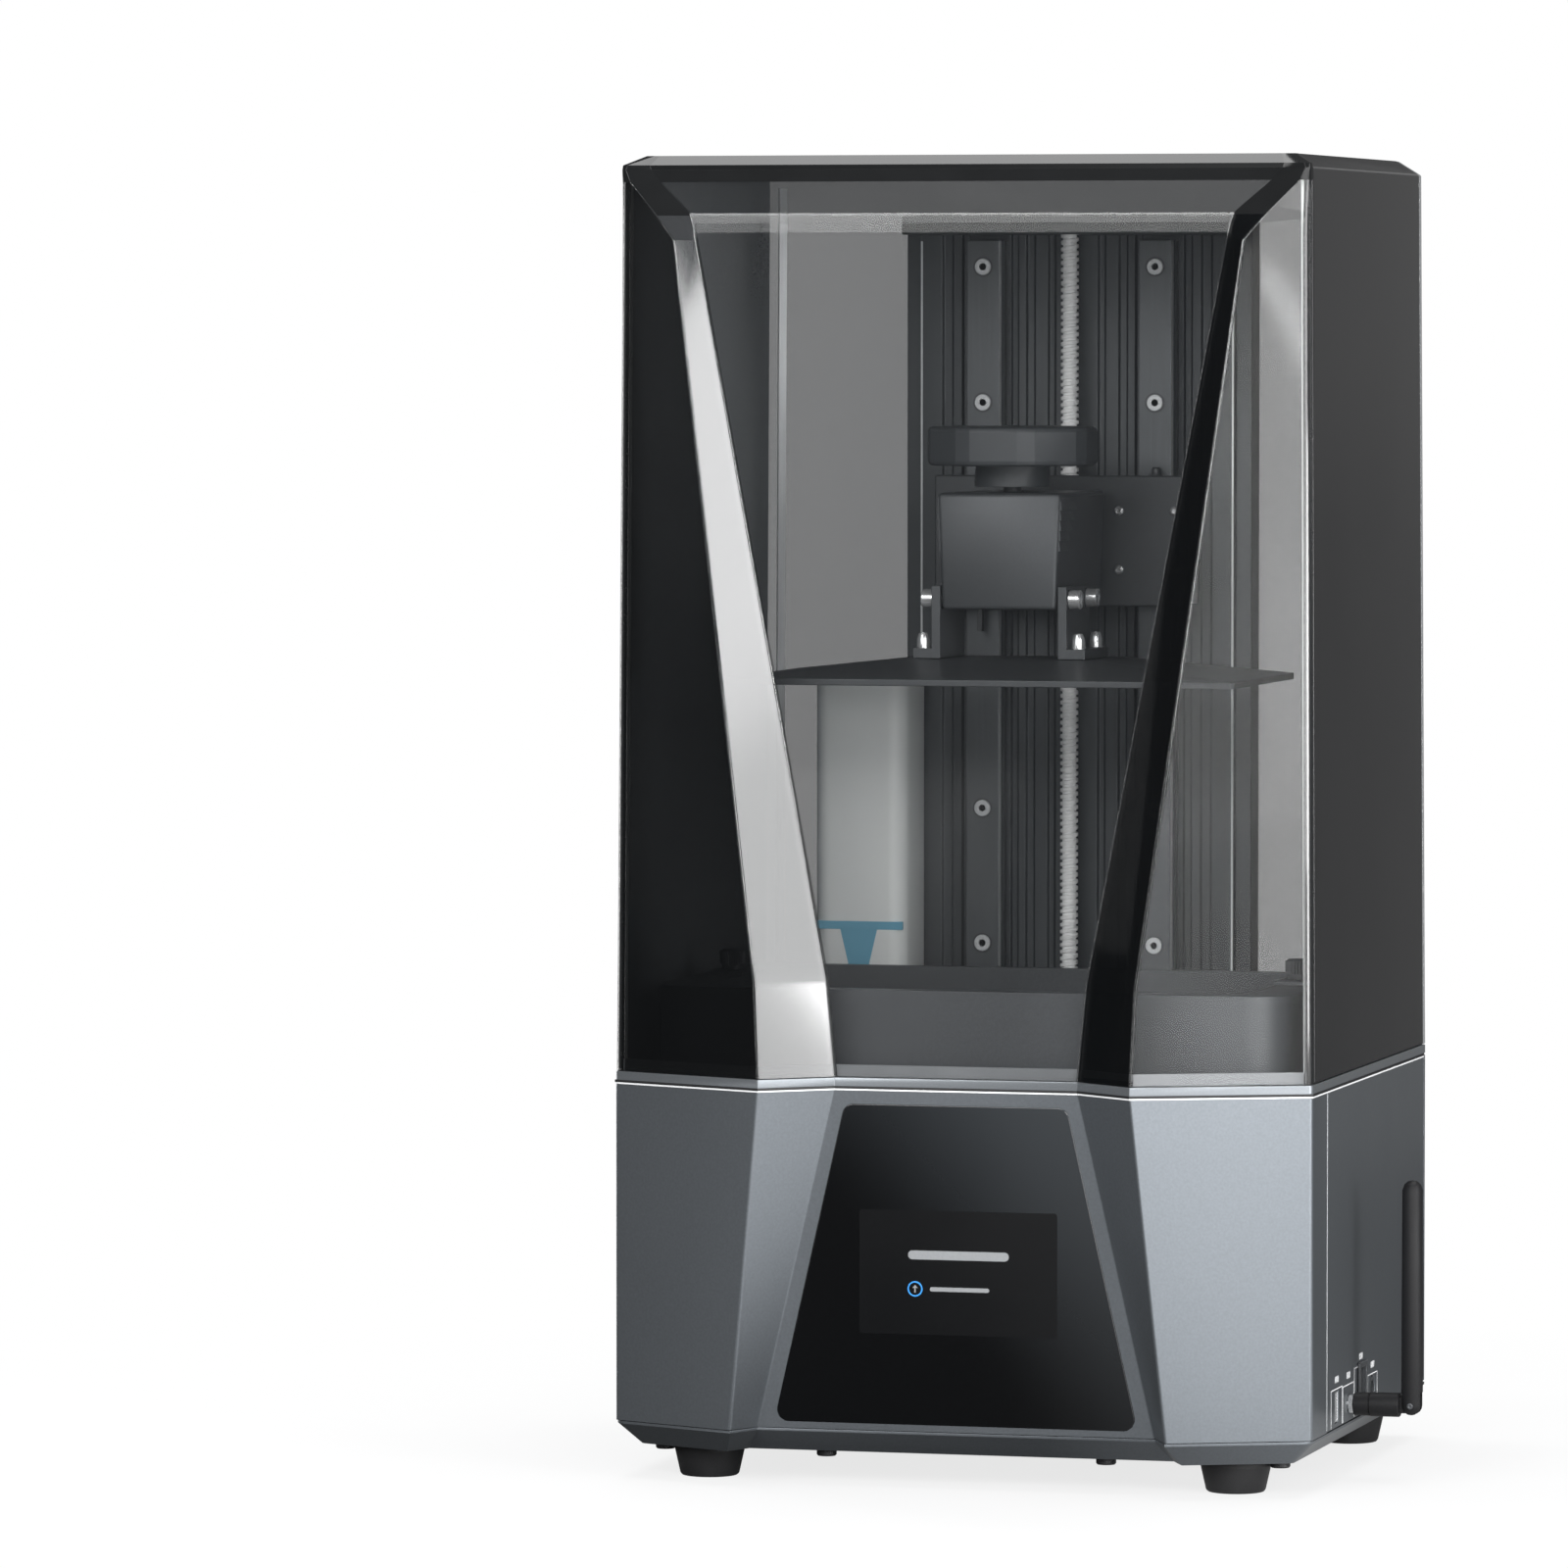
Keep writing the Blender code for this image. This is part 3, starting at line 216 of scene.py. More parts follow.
def finish(
    name, color, roughness, metallic, shade, grain, bump,
    depth=0.00008, smudge=0.05, stretch=(1, 1, 1), **sockets
):
    """A Principled material whose colour, roughness and surface all vary with procedural noise.

    shade is how far the colour moves each way, grain the noise scale, smudge the roughness swing."""
    made = bpy.data.materials.new(name)
    made.use_nodes = True
    tree = made.node_tree
    link = tree.links.new
    shader = tree.nodes["Principled BSDF"]
    put(shader, Metallic=metallic, **sockets)
    coords = tree.nodes.new("ShaderNodeTexCoord")
    fine = noise_node(tree, coords, grain, 3.0, stretch)
    broad = noise_node(tree, coords, 14.0, 4.0)

    ramp = tree.nodes.new("ShaderNodeValToRGB")
    for stop, place, share in zip(ramp.color_ramp.elements, (0.3, 0.7), (1 - shade, 1 + shade)):
        stop.position = place
        stop.color = (*[c * share for c in color], 1)
    link(fine.outputs["Fac"], ramp.inputs["Fac"])
    link(ramp.outputs["Color"], shader.inputs["Base Color"])

    smooth, rough = max(0.0, roughness - smudge), min(1.0, roughness + smudge)
    swing = map_range(tree, broad.outputs["Fac"], 0.2, 0.8, smooth, rough, "SMOOTHSTEP")
    link(swing, shader.inputs["Roughness"])

    if bump:
        relief = tree.nodes.new("ShaderNodeBump")
        put(relief, Strength=bump, Distance=depth)
        link(fine.outputs["Fac"], relief.inputs["Height"])
        link(relief.outputs["Normal"], shader.inputs["Normal"])
    return made


def painted_reflection_gradient(made, start, end, color):
    """Lets the base colour drift towards another one between two places: a painted soft reflection."""
    tree = made.node_tree
    link = tree.links.new
    shader = tree.nodes["Principled BSDF"]
    coords = tree.nodes.new("ShaderNodeTexCoord")
    along = Vector(end) - Vector(start)
    first, last = along.dot(Vector(start)), along.dot(Vector(end))
    share = map_range(tree, dot_with(tree, coords, along), first, last, kind="SMOOTHSTEP")
    mix = tree.nodes.new("ShaderNodeMix")
    mix.data_type = "RGBA"
    plain = shader.inputs["Base Color"].links[0].from_socket
    link(share, mix.inputs["Factor"])
    link(plain, mix.inputs["A"])
    mix.inputs["B"].default_value = (*color, 1)
    link(mix.outputs["Result"], shader.inputs["Base Color"])


# Grain drawn out along z, as on extruded and ground metal, or across, as on fins
DRAWN = {"stretch": (1, 1, 0.04)}
FINNED = {"stretch": (1, 0.1, 1)}

# Each finish: base colour, roughness, how metallic, the colour's swing, the grain's scale and
# relief, and anything else of its own
FINISHES = {
    "shell_paint": ((0.168, 0.184, 0.201), 0.3, 0.7, 0.06, 900, 0.06, dict(smudge=0.02)),
    "trim_paint": ((0.24, 0.258, 0.276), 0.3, 0.7, 0.04, 1200, 0.08, dict(smudge=0.01)),
    "panel_glass": ((0.003, 0.0032, 0.0036), 0.09, 0, 0.2, 1200, 0, dict(smudge=0.03)),
    "screen_lit": ((0.0045, 0.0048, 0.0054), 0.16, 0, 0.15, 1200, 0, dict(smudge=0.03)),
    # Dark plastic parts; the same finish also paints the shade inside the rail screws' counterbores
    "dark_moulding": ((0.06, 0.064, 0.069), 0.4, 0.2, 0.1, 1500, 0.22, {}),
    "anodised": ((0.07, 0.075, 0.08), 0.4, 0.4, 0.07, 1600, 0.18, {}),
    "knob_satin": ((0.052, 0.057, 0.062), 0.48, 0.1, 0.07, 1600, 0.14, {}),
    "tower_anodised": ((0.068, 0.074, 0.079), 0.4, 0.4, 0.05, 500, 0.12, dict(stretch=(1, 1, 0.03))),
    "rail_steel": ((0.115, 0.123, 0.13), 0.36, 0.5, 0.06, 700, 0.1, DRAWN),
    # Pale steel that paints highlights: on the rails' lit sides and on bright edge lines
    "rail_side": ((0.72, 0.74, 0.75), 0.4, 0.35, 0.05, 700, 0.05, DRAWN),
    "cap_screw": ((0.66, 0.68, 0.69), 0.4, 0.3, 0.04, 1200, 0.06, {}),
    "vat_moulding": ((0.074, 0.079, 0.085), 0.42, 0.1, 0.1, 1300, 0.22, {}),
    "bright_steel": ((0.8, 0.81, 0.82), 0.22, 0.8, 0.05, 900, 0.06, dict(smudge=0.04)),
    "plain_aluminium": ((0.58, 0.59, 0.6), 0.34, 1.0, 0.06, 800, 0.1, FINNED),
    "satin_steel": ((0.42, 0.43, 0.44), 0.34, 0.9, 0.06, 700, 0.1, {}),
    # The steel's pale tone, raised to near white and made matt, so the colour also paints the thread's
    # bright reflections
    "thread_steel": ((0.96, 0.97, 0.97), 0.34, 0, 0.05, 900, 0.05, {}),
    "screw_brass": ((0.62, 0.45, 0.2), 0.34, 1.0, 0.1, 700, 0.08, {}),
    # Black rubber for the feet; the same black also paints the shade in the seam's groove
    "black_rubber": ((0.013, 0.013, 0.014), 0.5, 0, 0.2, 1800, 0.3, {}),
    "antenna_black": ((0.011, 0.011, 0.012), 0.5, 0, 0.2, 1800, 0.2, dict(IOR=1.3)),
    "board_resist": ((0.01, 0.085, 0.04), 0.38, 0, 0.18, 350, 0.15, {}),
    "motor_black": ((0.022, 0.022, 0.024), 0.45, 0.2, 0.15, 900, 0.2, {}),
    "mirror_sheet": ((0.8, 0.8, 0.8), 0.12, 1.0, 0.03, 1200, 0.05, {}),
    "release_film": ((0.7, 0.76, 0.8), 0.1, 0, 0.04, 1200, 0.03, dict(Alpha=0.28)),
    "light_moulding": ((0.88, 0.91, 0.9), 0.42, 0, 0.03, 1300, 0.15, {}),
    "blue_band": ((0.16, 0.45, 0.62), 0.4, 0, 0.05, 1300, 0.15, {}),
    "carbon_filter": ((0.018, 0.018, 0.019), 0.9, 0, 0.5, 420, 0.8, dict(depth=0.0006)),
    "gloss_black": ((0.014, 0.0145, 0.0155), 0.2, 0, 0.15, 900, 0.04, dict(smudge=0.01)),
    # The cover's inside walls: a light grey for the black plastic, painted light where little light reaches
    "inner_painted_light": ((0.2, 0.214, 0.225), 0.22, 0, 0.06, 900, 0.04, dict(smudge=0.03)),
    "gloss_edge": ((0.01, 0.0105, 0.011), 0.05, 0, 0.1, 40, 0, dict(smudge=0.02, IOR=1.3)),
    # White print for the port outlines; the same white also paints the highlight on the base's top edge
    "print_white": ((0.78, 0.79, 0.8), 0.5, 0, 0.03, 1200, 0.05, {}),
    "glow_blue": ((0.04, 0.3, 0.8), 0.35, 0, 0.05, 1200, 0, {}),
    "glow_grey": ((0.26, 0.27, 0.28), 0.35, 0, 0.05, 1200, 0, {}),
}

# Each smoked pane: base colour, roughness, how opaque, and anything else of its own
# These are copies of one smoked plastic, each set to paint its facet's light: the left facet's lighter and
# glossier for a painted highlight, the left wing's, the right facet's and the band's darker or more opaque
# for painted shade, and the right wing's, the fold's and the corners' glossier for painted highlights
SMOKED = {
    "smoke_front": ((0.016, 0.0175, 0.019), 0.03, 0.17, {}),
    "smoke_band": ((0.02, 0.0215, 0.023), 0.05, 0.48, {}),
    "smoke_wing": ((0.02, 0.021, 0.022), 0.06, 0.06, dict(IOR=1.75)),
    "smoke_lit_facet": ((0.03, 0.032, 0.034), 0.1, 0.8, dict(IOR=1.85)),
    "smoke_shaded_left": ((0.004, 0.0045, 0.005), 0.05, 0.7, {}),
    "smoke_rear": ((0.034, 0.044, 0.054), 0.06, 0.5, {}),
    "smoke_edge": ((0.02, 0.021, 0.022), 0.05, 0.72, dict(shade=0.08, grain=60, IOR=1.8)),
    "smoke_shaded_facet": ((0.004, 0.0045, 0.005), 0.05, 0.93, dict(IOR=1.15)),
    "smoke_fold_highlight": ((0.016, 0.0175, 0.019), 0.08, 0.36, dict(IOR=1.6)),
    "smoke_lip": ((0.34, 0.355, 0.37), 0.32, 0.6, dict(shade=0.06, grain=60, smudge=0.03)),
}
SMOKED_COMMON = {"metallic": 0, "shade": 0.05, "grain": 30, "bump": 0, "smudge": 0.02}


def make_finishes():
    looks = {name: finish(name, *values, **more) for name, (*values, more) in FINISHES.items()}
    for name, (color, roughness, alpha, more) in SMOKED.items():
        looks[name] = finish(name, color, roughness, **{**SMOKED_COMMON, **more}, Alpha=alpha)
    # The black glass grows lighter towards its upper right: a painted soft reflection.
    painted_reflection_gradient(looks["panel_glass"], (-0.02, 0, 0.085), (0.062, 0, 0.168), (0.032, 0.036, 0.04))
    return looks


# ---- shape helpers

FLAT_WITHIN = math.radians(0.4)
SIDES = ("left", -1), ("right", 1)


def new_object(name, bm, look, body, round_angle=30):
    """Makes the bmesh a piece that rides on a body, shaded smooth except across sharp edges."""
    bmesh.ops.recalc_face_normals(bm, faces=bm.faces)
    mesh = bpy.data.meshes.new(name)
    bm.to_mesh(mesh)
    bm.free()
    for one in look if isinstance(look, (list, tuple)) else [look]:
        mesh.materials.append(looks[one])
    mesh.shade_smooth()
    mesh.set_sharp_from_angle(angle=math.radians(round_angle))
    obj = linked(name, mesh)
    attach(obj, body)
    return obj


def body_of(node):
    return frame["nodes"][node]["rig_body"]


def bevelled(obj, width, segments=2, angle=18):
    modifier = obj.modifiers.new("Bevel", "BEVEL")
    modifier.width = width
    modifier.segments = segments
    modifier.limit_method = "ANGLE"
    modifier.angle_limit = math.radians(angle)
    modifier.harden_normals = True


def cad_bmesh(node):
    """The CAD solid with its flat faces merged back from triangles."""
    bm = bmesh.new()
    bm.from_mesh(frame["nodes"][node].data)
    bmesh.ops.remove_doubles(bm, verts=bm.verts, dist=0.000002)
    bmesh.ops.dissolve_limit(bm, angle_limit=FLAT_WITHIN, verts=bm.verts, edges=bm.edges)
    return bm


def refined(node, look, width=0.0004, segments=2, angle=25, bm=None):
    """A copy of a CAD solid with rounded edges, which stands for it."""
    obj = new_object(node + "_fine", bm or cad_bmesh(node), look, body_of(node))
    if width:
        bevelled(obj, width, segments, angle)
    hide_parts(node)


def repaint(node, look):
    """Keeps a CAD node as it is and gives it a finish."""
    obj = frame["nodes"][node]
    obj.data.materials.clear()
    obj.data.materials.append(looks[look])


def add_loft(bm, sections, hoop=False):
    """Adds a solid through sections of as many points each; a hoop runs back into its first one."""
    rings = [[bm.verts.new(point) for point in section] for section in sections]
    for near, far in zip(rings, rings[1:] + rings[:hoop]):
        for i in range(len(near)):
            j = (i + 1) % len(near)
            bm.faces.new((near[i], near[j], far[j], far[i]))
    if not hoop:
        bm.faces.new(rings[0])
        bm.faces.new(rings[-1])


def mirrored_piece(name, sections, look, body):
    """One piece of a solid through sections on the right and another on the left."""
    bm = bmesh.new()
    for side in (-1, 1):
        add_loft(bm, [[(side * x, y, z) for x, y, z in section] for section in sections])
    new_object(name, bm, look, body)


def add_prism(bm, outline, low, high, place):
    """Adds a prism over an outline; place turns (a, b, level) into a point."""
    add_loft(bm, [[place(a, b, level) for a, b in outline] for level in (low, high)])


def add_band(bm, outer, inner, low, high, place):
    """Adds a closed band between two outlines of the same number of points."""
    lines = (outer, low), (outer, high), (inner, high), (inner, low)
    add_loft(bm, [[place(a, b, level) for a, b in line] for line, level in lines], hoop=True)


def strip_piece(name, outer, inner, low, high, look, body):
    """A strip between two open (x, y) outlines, closed at both ends."""
    bm = bmesh.new()
    lines = (outer, low), (outer, high), (inner, high), (inner, low)
    add_loft(bm, zip(*[[(x, y, z) for x, y in line] for line, z in lines]))
    new_object(name, bm, look, body)


def add_turned(bm, profile, matrix, steps=24):
    """Adds a turned solid; its (radius, height) profile starts and ends on the axis."""
    rings = []
    for radius, height in profile:
        spots = circle(radius, steps) if radius else [(0, 0)]
        rings.append([bm.verts.new(matrix @ Vector((x, y, height))) for x, y in spots])
    for lower, upper in zip(rings, rings[1:]):
        for i in range(steps):
            j = (i + 1) % steps
            corners = []
            for ring, k in ((lower, i), (lower, j), (upper, j), (upper, i)):
                vert = ring[k % len(ring)]
                if vert not in corners:
                    corners.append(vert)
            if len(corners) > 2:
                bm.faces.new(corners)


def circle(radius, steps, centre=(0, 0)):
    points = []
    for i in range(steps):
        angle = math.tau * i / steps
        points.append((centre[0] + radius * math.cos(angle), centre[1] + radius * math.sin(angle)))
    return points


def turned_pieces(name, profile, places, look, body, steps=24, round_angle=30):
    """One piece of the same turned shape at each place."""
    bm = bmesh.new()
    for place in places:
        add_turned(bm, profile, place, steps)
    return new_object(name, bm, look, body, round_angle)


def prism_pieces(name, outlines, low, high, place, look, body):
    """One piece of prisms over several outlines."""
    bm = bmesh.new()
    for outline in outlines:
        add_prism(bm, outline, low, high, place)
    return new_object(name, bm, look, body)


def spot(x, y, z):
    return Matrix.Translation((x, y, z))


FLAT_Z = lambda a, b, level: (a, b, level)
FACE_Y = lambda a, b, level: (a, level, b)
FACE_X = lambda a, b, level: (level, a, b)
TURN_FRONT = Matrix.Rotation(math.radians(90), 4, "X")
TURN_RIGHT = Matrix.Rotation(math.radians(90), 4, "Y")


def rounded_frame(half_a, half_b, radius, centre=(0, 0), steps=4):
    points = []
    for quarter, (sa, sb) in enumerate(((1, 1), (-1, 1), (-1, -1), (1, -1))):
        for step in range(steps + 1):
            angle = math.radians(90 * quarter + 90 * step / steps)
            a = centre[0] + sa * (half_a - radius) + radius * math.cos(angle)
            b = centre[1] + sb * (half_b - radius) + radius * math.sin(angle)
            points.append((a, b))
    return points


def fillet(before, corner, after, radius):
    """Points of an arc that rounds a corner of an outline."""
    corner = Vector(corner)
    to_before = (Vector(before) - corner).normalized()
    to_after = (Vector(after) - corner).normalized()
    half = to_before.angle(to_after) / 2
    centre = corner + (to_before + to_after).normalized() * radius / math.sin(half)
    start = corner + to_before * radius / math.tan(half) - centre
    end = corner + to_after * radius / math.tan(half) - centre
    points = []
    for step in range(ROUND_STEPS + 1):
        mixed = start.lerp(end, step / ROUND_STEPS).normalized() * radius
        points.append(tuple(centre + mixed))
    return points


def offset_line(points, distance):
    """An open outline moved to its left, with mitred corners."""
    moved = []
    for i, point in enumerate(points):
        here = Vector(point)
        first = (here - Vector(points[i - 1])).normalized() if i else None
        last = (Vector(points[i + 1]) - here).normalized() if i < len(points) - 1 else None
        first, last = first or last, last or first
        inwards = first.orthogonal() + last.orthogonal()
        moved.append(tuple(here + inwards * distance / (1 + first.dot(last))))
    return moved


def rounded_line(points, radii):
    rounded = [points[0]]
    for before, corner, after, radius in zip(points, points[1:], points[2:], radii):
        rounded += fillet(before, corner, after, radius)
    return rounded + [points[-1]]


ROUND_STEPS = 6
TALL_SPAN = 0.03
TALL_ROWS = 10
INNER_ROUND_MIN = 0.0003


def faceted_sheet(levels, wall, span_looks):
    """A thick sheet over plans that change with height; each level is (z, points, radii).

    The plan's corners are rounded outside and inside. span_looks holds a row of materials for
    each step up: one for every straight side, and a last one for the rounded corners."""
    bm = bmesh.new()
    grids = [], []
    row_looks = []
    for step_looks, (low_z, low_points, low_radii), (high_z, high_points, high_radii) in zip(
        span_looks, levels, levels[1:]
    ):
        count = TALL_ROWS if high_z - low_z > TALL_SPAN else 1
        row_looks += [step_looks] * count
        for k in range(count + (high_z == levels[-1][0])):
            t = k / count
            points = [tuple(Vector(a).lerp(Vector(b), t)) for a, b in zip(low_points, high_points)]
            radii = [a + (b - a) * t for a, b in zip(low_radii, high_radii)]
            z = low_z + (high_z - low_z) * t
            turns = turn_signs(points)
            inner_points = offset_line(points, wall)
            inner_radii = [
                max(INNER_ROUND_MIN, r - wall) if turn > 0 else r + wall for r, turn in zip(radii, turns)
            ]
            for grid, line, rounds in zip(grids, (points, inner_points), (radii, inner_radii)):
                grid.append([bm.verts.new((x, y, z)) for x, y in rounded_line(line, rounds)])
    outer, inner = grids
    last = len(outer[0]) - 1

    def look_at(r, i):
        side, inside = divmod(i, ROUND_STEPS + 1)
        row = row_looks[min(r, len(row_looks) - 1)]
        return row[side] if inside == 0 else row[-1]

    for r in range(len(outer) - 1):
        for i in range(last):
            for grid in grids:
                face = bm.faces.new((grid[r][i], grid[r][i + 1], grid[r + 1][i + 1], grid[r + 1][i]))
                face.material_index = look_at(r, i)
        for i in (0, last):
            bm.faces.new((outer[r][i], outer[r + 1][i], inner[r + 1][i], inner[r][i]))
    for r in (0, len(outer) - 1):
        for i in range(last):
            face = bm.faces.new((outer[r][i], outer[r][i + 1], inner[r][i + 1], inner[r][i]))
            face.material_index = look_at(r, i)
    return bm


def turn_signs(points):
    signs = []
    for before, here, after in zip(points, points[1:], points[2:]):
        a, b = Vector(here) - Vector(before), Vector(after) - Vector(here)
        signs.append(a.x * b.y - a.y * b.x)
    return signs


def front_points(half, corner_y, wing_edge, panel_edge, panel_y, back_y):
    """The faceted front at one level, from the left side's end to the right side's end."""
    wing_y = corner_y - (half - wing_edge) * WING_SLOPE
    right = [(panel_edge, panel_y), (wing_edge, wing_y), (half, corner_y), (half, back_y)]
    return [(-x, y) for x, y in reversed(right)] + right


# ---- base

# The faceted plan, as in the solids: slope of the wings, and half widths at the seam and at the fold
WING_SLOPE = 0.4428
WING_EDGES = (0.0949, 0.0809)
PANEL_EDGES = (0.0872, 0.0531)
CORNER_ROUND = 0.0026
EDGE_ROUND = 0.0014
SHELL_WALL = 0.003

# How far the fascia's and the window's side corners stand ahead of the cover's sides, the fascia's
# panel ahead of its glass, and the finished glass ahead of the solid
CORNER_LEAD = 0.0046
PANEL_LEAD = 0.0003
GLASS_LEAD = 0.0006


def front_depths():
    """The y of the side corners and of the middle panel."""
    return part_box("cover_shell")[0].y - CORNER_LEAD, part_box("front_glass")[0].y - PANEL_LEAD


def dress_fascia():
    low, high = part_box("front_fascia")
    corner_y, panel_y = front_depths()
    radii = [CORNER_ROUND, EDGE_ROUND, EDGE_ROUND, EDGE_ROUND, EDGE_ROUND, CORNER_ROUND]
    levels = []
    for z, wing_edge, panel_edge in zip((low.z, high.z), WING_EDGES, PANEL_EDGES):
        points = front_points(high.x, corner_y, wing_edge, panel_edge, panel_y, high.y)
        levels.append((z, points, radii))
    bm = faceted_sheet(levels, SHELL_WALL, [[0] * 8])
    fascia = new_object("front_fascia_fine", bm, "shell_paint", "base")
    bevelled(fascia, 0.0011, 3, 14)
    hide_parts("front_fascia")


# The seam's lines, a painted shade in its groove and a painted highlight on the base's top edge: look,
# slot, foot and top above the fascia's top edge, and how proud they stand
SEAM_LINES = {
    "seam_shade_strip": ("black_rubber", "rubber", -0.0006, 0.0004, 0.0002),
    "seam_highlight_strip": ("print_white", "shell_grey", -0.0013, -0.0006, 0.00012),
}
SEAM_SUNK = 0.0006


def dress_seam():
    """Under the rim, round the front and the sides: a black strip of painted shade in the groove over a
    white strip of painted highlight on the base's top edge.
    """
    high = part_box("front_fascia")[1]
    corner_y, panel_y = front_depths()
    back_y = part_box("side_panel_right")[1].y
    line = front_points(high.x, corner_y, WING_EDGES[1], PANEL_EDGES[1], panel_y, back_y)
    for name, (look, slot, foot, top, proud) in SEAM_LINES.items():
        outer, inner = offset_line(line, -proud), offset_line(line, SEAM_SUNK)
        strip_piece(name, outer, inner, high.z + foot, high.z + top, look, "base")


def dress_side_seams():
    """A pale strip at the joint between the fascia and each side panel paints the highlight along that
    edge.
    """
    low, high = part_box("front_fascia")
    inner, outer, front, back = high.x - 0.0008, high.x + 0.00012, high.y - 0.0004, high.y + 0.0001
    strip = [(inner, front), (outer, front), (outer, back), (inner, back)]
    sections = [[(x, y, z) for x, y in strip] for z in (low.z + 0.001, high.z - 0.0014)]
    mirrored_piece("side_seam_highlights", sections, "rail_side", "base")


# Under the tray: where the screws stand on the right, and a recessed head inside its sleeve
TRAY_SCREWS = [(0.0615, -0.095), (0.1355, -0.087)]
TRAY_SCREW = [
    (0, 0.0009), (0.0017, 0.0009), (0.0019, 0), (0.0038, 0), (0.0043, 0.0006), (0.0043, 0.004), (0, 0.004),
]
TRAY_SCREW_DROP = 0.0032


def dress_tray_screws():
    """Small dark screw heads in sleeves under the tray's front edge."""
    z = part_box("bottom_tray")[0].z - TRAY_SCREW_DROP
    places = [spot(side * x, y, z) for x, y in TRAY_SCREWS for side in (-1, 1)]
    turned_pieces("tray_screws", TRAY_SCREW, places, "motor_black", "base", 24, 25)


def dress_base():
    dress_fascia()
    for node in ("side_panel_left", "side_panel_right", "rear_panel"):
        refined(node, "shell_paint")
    refined("bottom_tray", "shell_paint", 0.0008, 3, 15)
    dress_tray_screws()
    refined("cover_rim", "trim_paint", 0.0003)
    dress_seam()
    dress_side_seams()
    refined("deck_plate", "anodised", 0.0003)
    dress_front_glass()
    repaint("screen_glass", "panel_glass")
    repaint("lcd_panel", "screen_lit")
    repaint("touchscreen_module", "dark_moulding")
    for node in ("foot_front_left", "foot_front_right", "foot_rear_left", "foot_rear_right"):
        refined(node, "black_rubber")


# The lit screen: half width, half height, corner and middle as (x, z). The ring: middle's x, height
# over the module's foot, and radii. The arrow in it is half an outline about that middle.
SCREEN = (0.0433, 0.0265, 0.0012, (0.0013, 0.0925))
SCREEN_PROUD = 0.00012
RING_X, RING_RISE, RING_RADII = -0.0175, 0.0215, (0.0033, 0.0027)
ARROW = [(0.0003, -0.0016), (0.0003, 0.0004), (0.0012, 0.0004)]
ARROW_TIP = (0, 0.0017)
PRINT_PROUD, PRINT_SUNK = 0.00026, 0.0001

# Plain bars that stand for lines of text: length, middle as (x, z), and half height
STATUS_BARS = [
    (0.026, (0.002, 0.0855), 0.0009),
    (0.044, (0.0015, 0.1), 0.0019),
]


def dress_front_glass():
    """The black glass stands a hair proud of the panel, with a generic status screen on it."""
    bm = cad_bmesh("front_glass")
    bmesh.ops.translate(bm, verts=bm.verts, vec=(0, -GLASS_LEAD, 0))
    refined("front_glass", "panel_glass", 0.0006, 3, 25, bm)
    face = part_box("front_glass")[0].y - GLASS_LEAD
    front, outline = face - SCREEN_PROUD, rounded_frame(*SCREEN)
    prism_pieces("status_screen", [outline], front, face, FACE_Y, "screen_lit", "base")
    x, z = RING_X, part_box("touchscreen_module")[0].z + RING_RISE
    front, back = face - PRINT_PROUD, face - PRINT_SUNK
    ring = bmesh.new()
    outer, inner = [circle(radius, 32, (x, z)) for radius in RING_RADII]
    add_band(ring, outer, inner, front, back, FACE_Y)
    new_object("status_ring", ring, "glow_blue", "base")
    arrow = ARROW + [ARROW_TIP] + [(-a, b) for a, b in reversed(ARROW)]
    marks = [[(x + a, z + b) for a, b in arrow]]
    marks += [rounded_frame(length / 2, half, half * 0.9, middle) for length, middle, half in STATUS_BARS]
    prism_pieces("status_bars", marks, front, back, FACE_Y, "glow_grey", "base")


def dress_inside_base():
    repaint("light_reflector", "mirror_sheet")
    repaint("led_board", "board_resist")
    refined("heat_sink", "plain_aluminium", 0.0003)
    repaint("mainboard", "board_resist")
    refined("z_motor", "motor_black", 0.0006)
    refined("exhaust_fan_frame", "dark_moulding")
    repaint("exhaust_fan_rotor", "dark_moulding")


# Outlines round the ports: lowest and highest y, and the height they reach
PORT_FRAMES = [
    (-0.066, -0.0424, 0.0415),
    (-0.0416, -0.0182, 0.0408),
    (-0.0174, 0.0101, 0.0463),
    (0.0109, 0.0315, 0.0402),
]
PORT_LINE = 0.00044
PORT_MARK_RISE = 0.0038
PORT_MARK_PITCH = 0.0026


def dress_port_frames():
    """Printed outlines that run off the panel's lower edge, with three dots over each."""
    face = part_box("side_panel_right")[1].x
    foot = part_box("side_panel_right")[0].z + 0.0004
    marks = []
    for low_y, high_y, top in PORT_FRAMES:
        left, right = low_y + PORT_LINE, high_y - PORT_LINE
        for a, b, c in ((low_y, foot, left), (right, foot, high_y), (left, top - PORT_LINE, right)):
            marks.append([(a, b), (c, b), (c, top), (a, top)])
        for i in (-1, 0, 1):
            centre = ((low_y + high_y) / 2 + i * PORT_MARK_PITCH, top + PORT_MARK_RISE)
            marks.append(rounded_frame(0.0008, 0.0014, 0.0005, centre, 2))
    low, high = face - 0.0001, face + 0.00008
    prism_pieces("port_outlines", marks, low, high, FACE_X, "print_white", "base")


def dress_ports():
    dress_port_frames()
    refined("usb_socket", "bright_steel", 0.0002)
    repaint("power_jack", "dark_moulding")
    refined("switch_housing", "dark_moulding", 0.0003)
    refined("switch_rocker", "dark_moulding", 0.0003)
    repaint("antenna_socket", "bright_steel")
    dress_antenna()


# The barrel's turning joint, from the wall
BARREL_JOINT = 0.0068


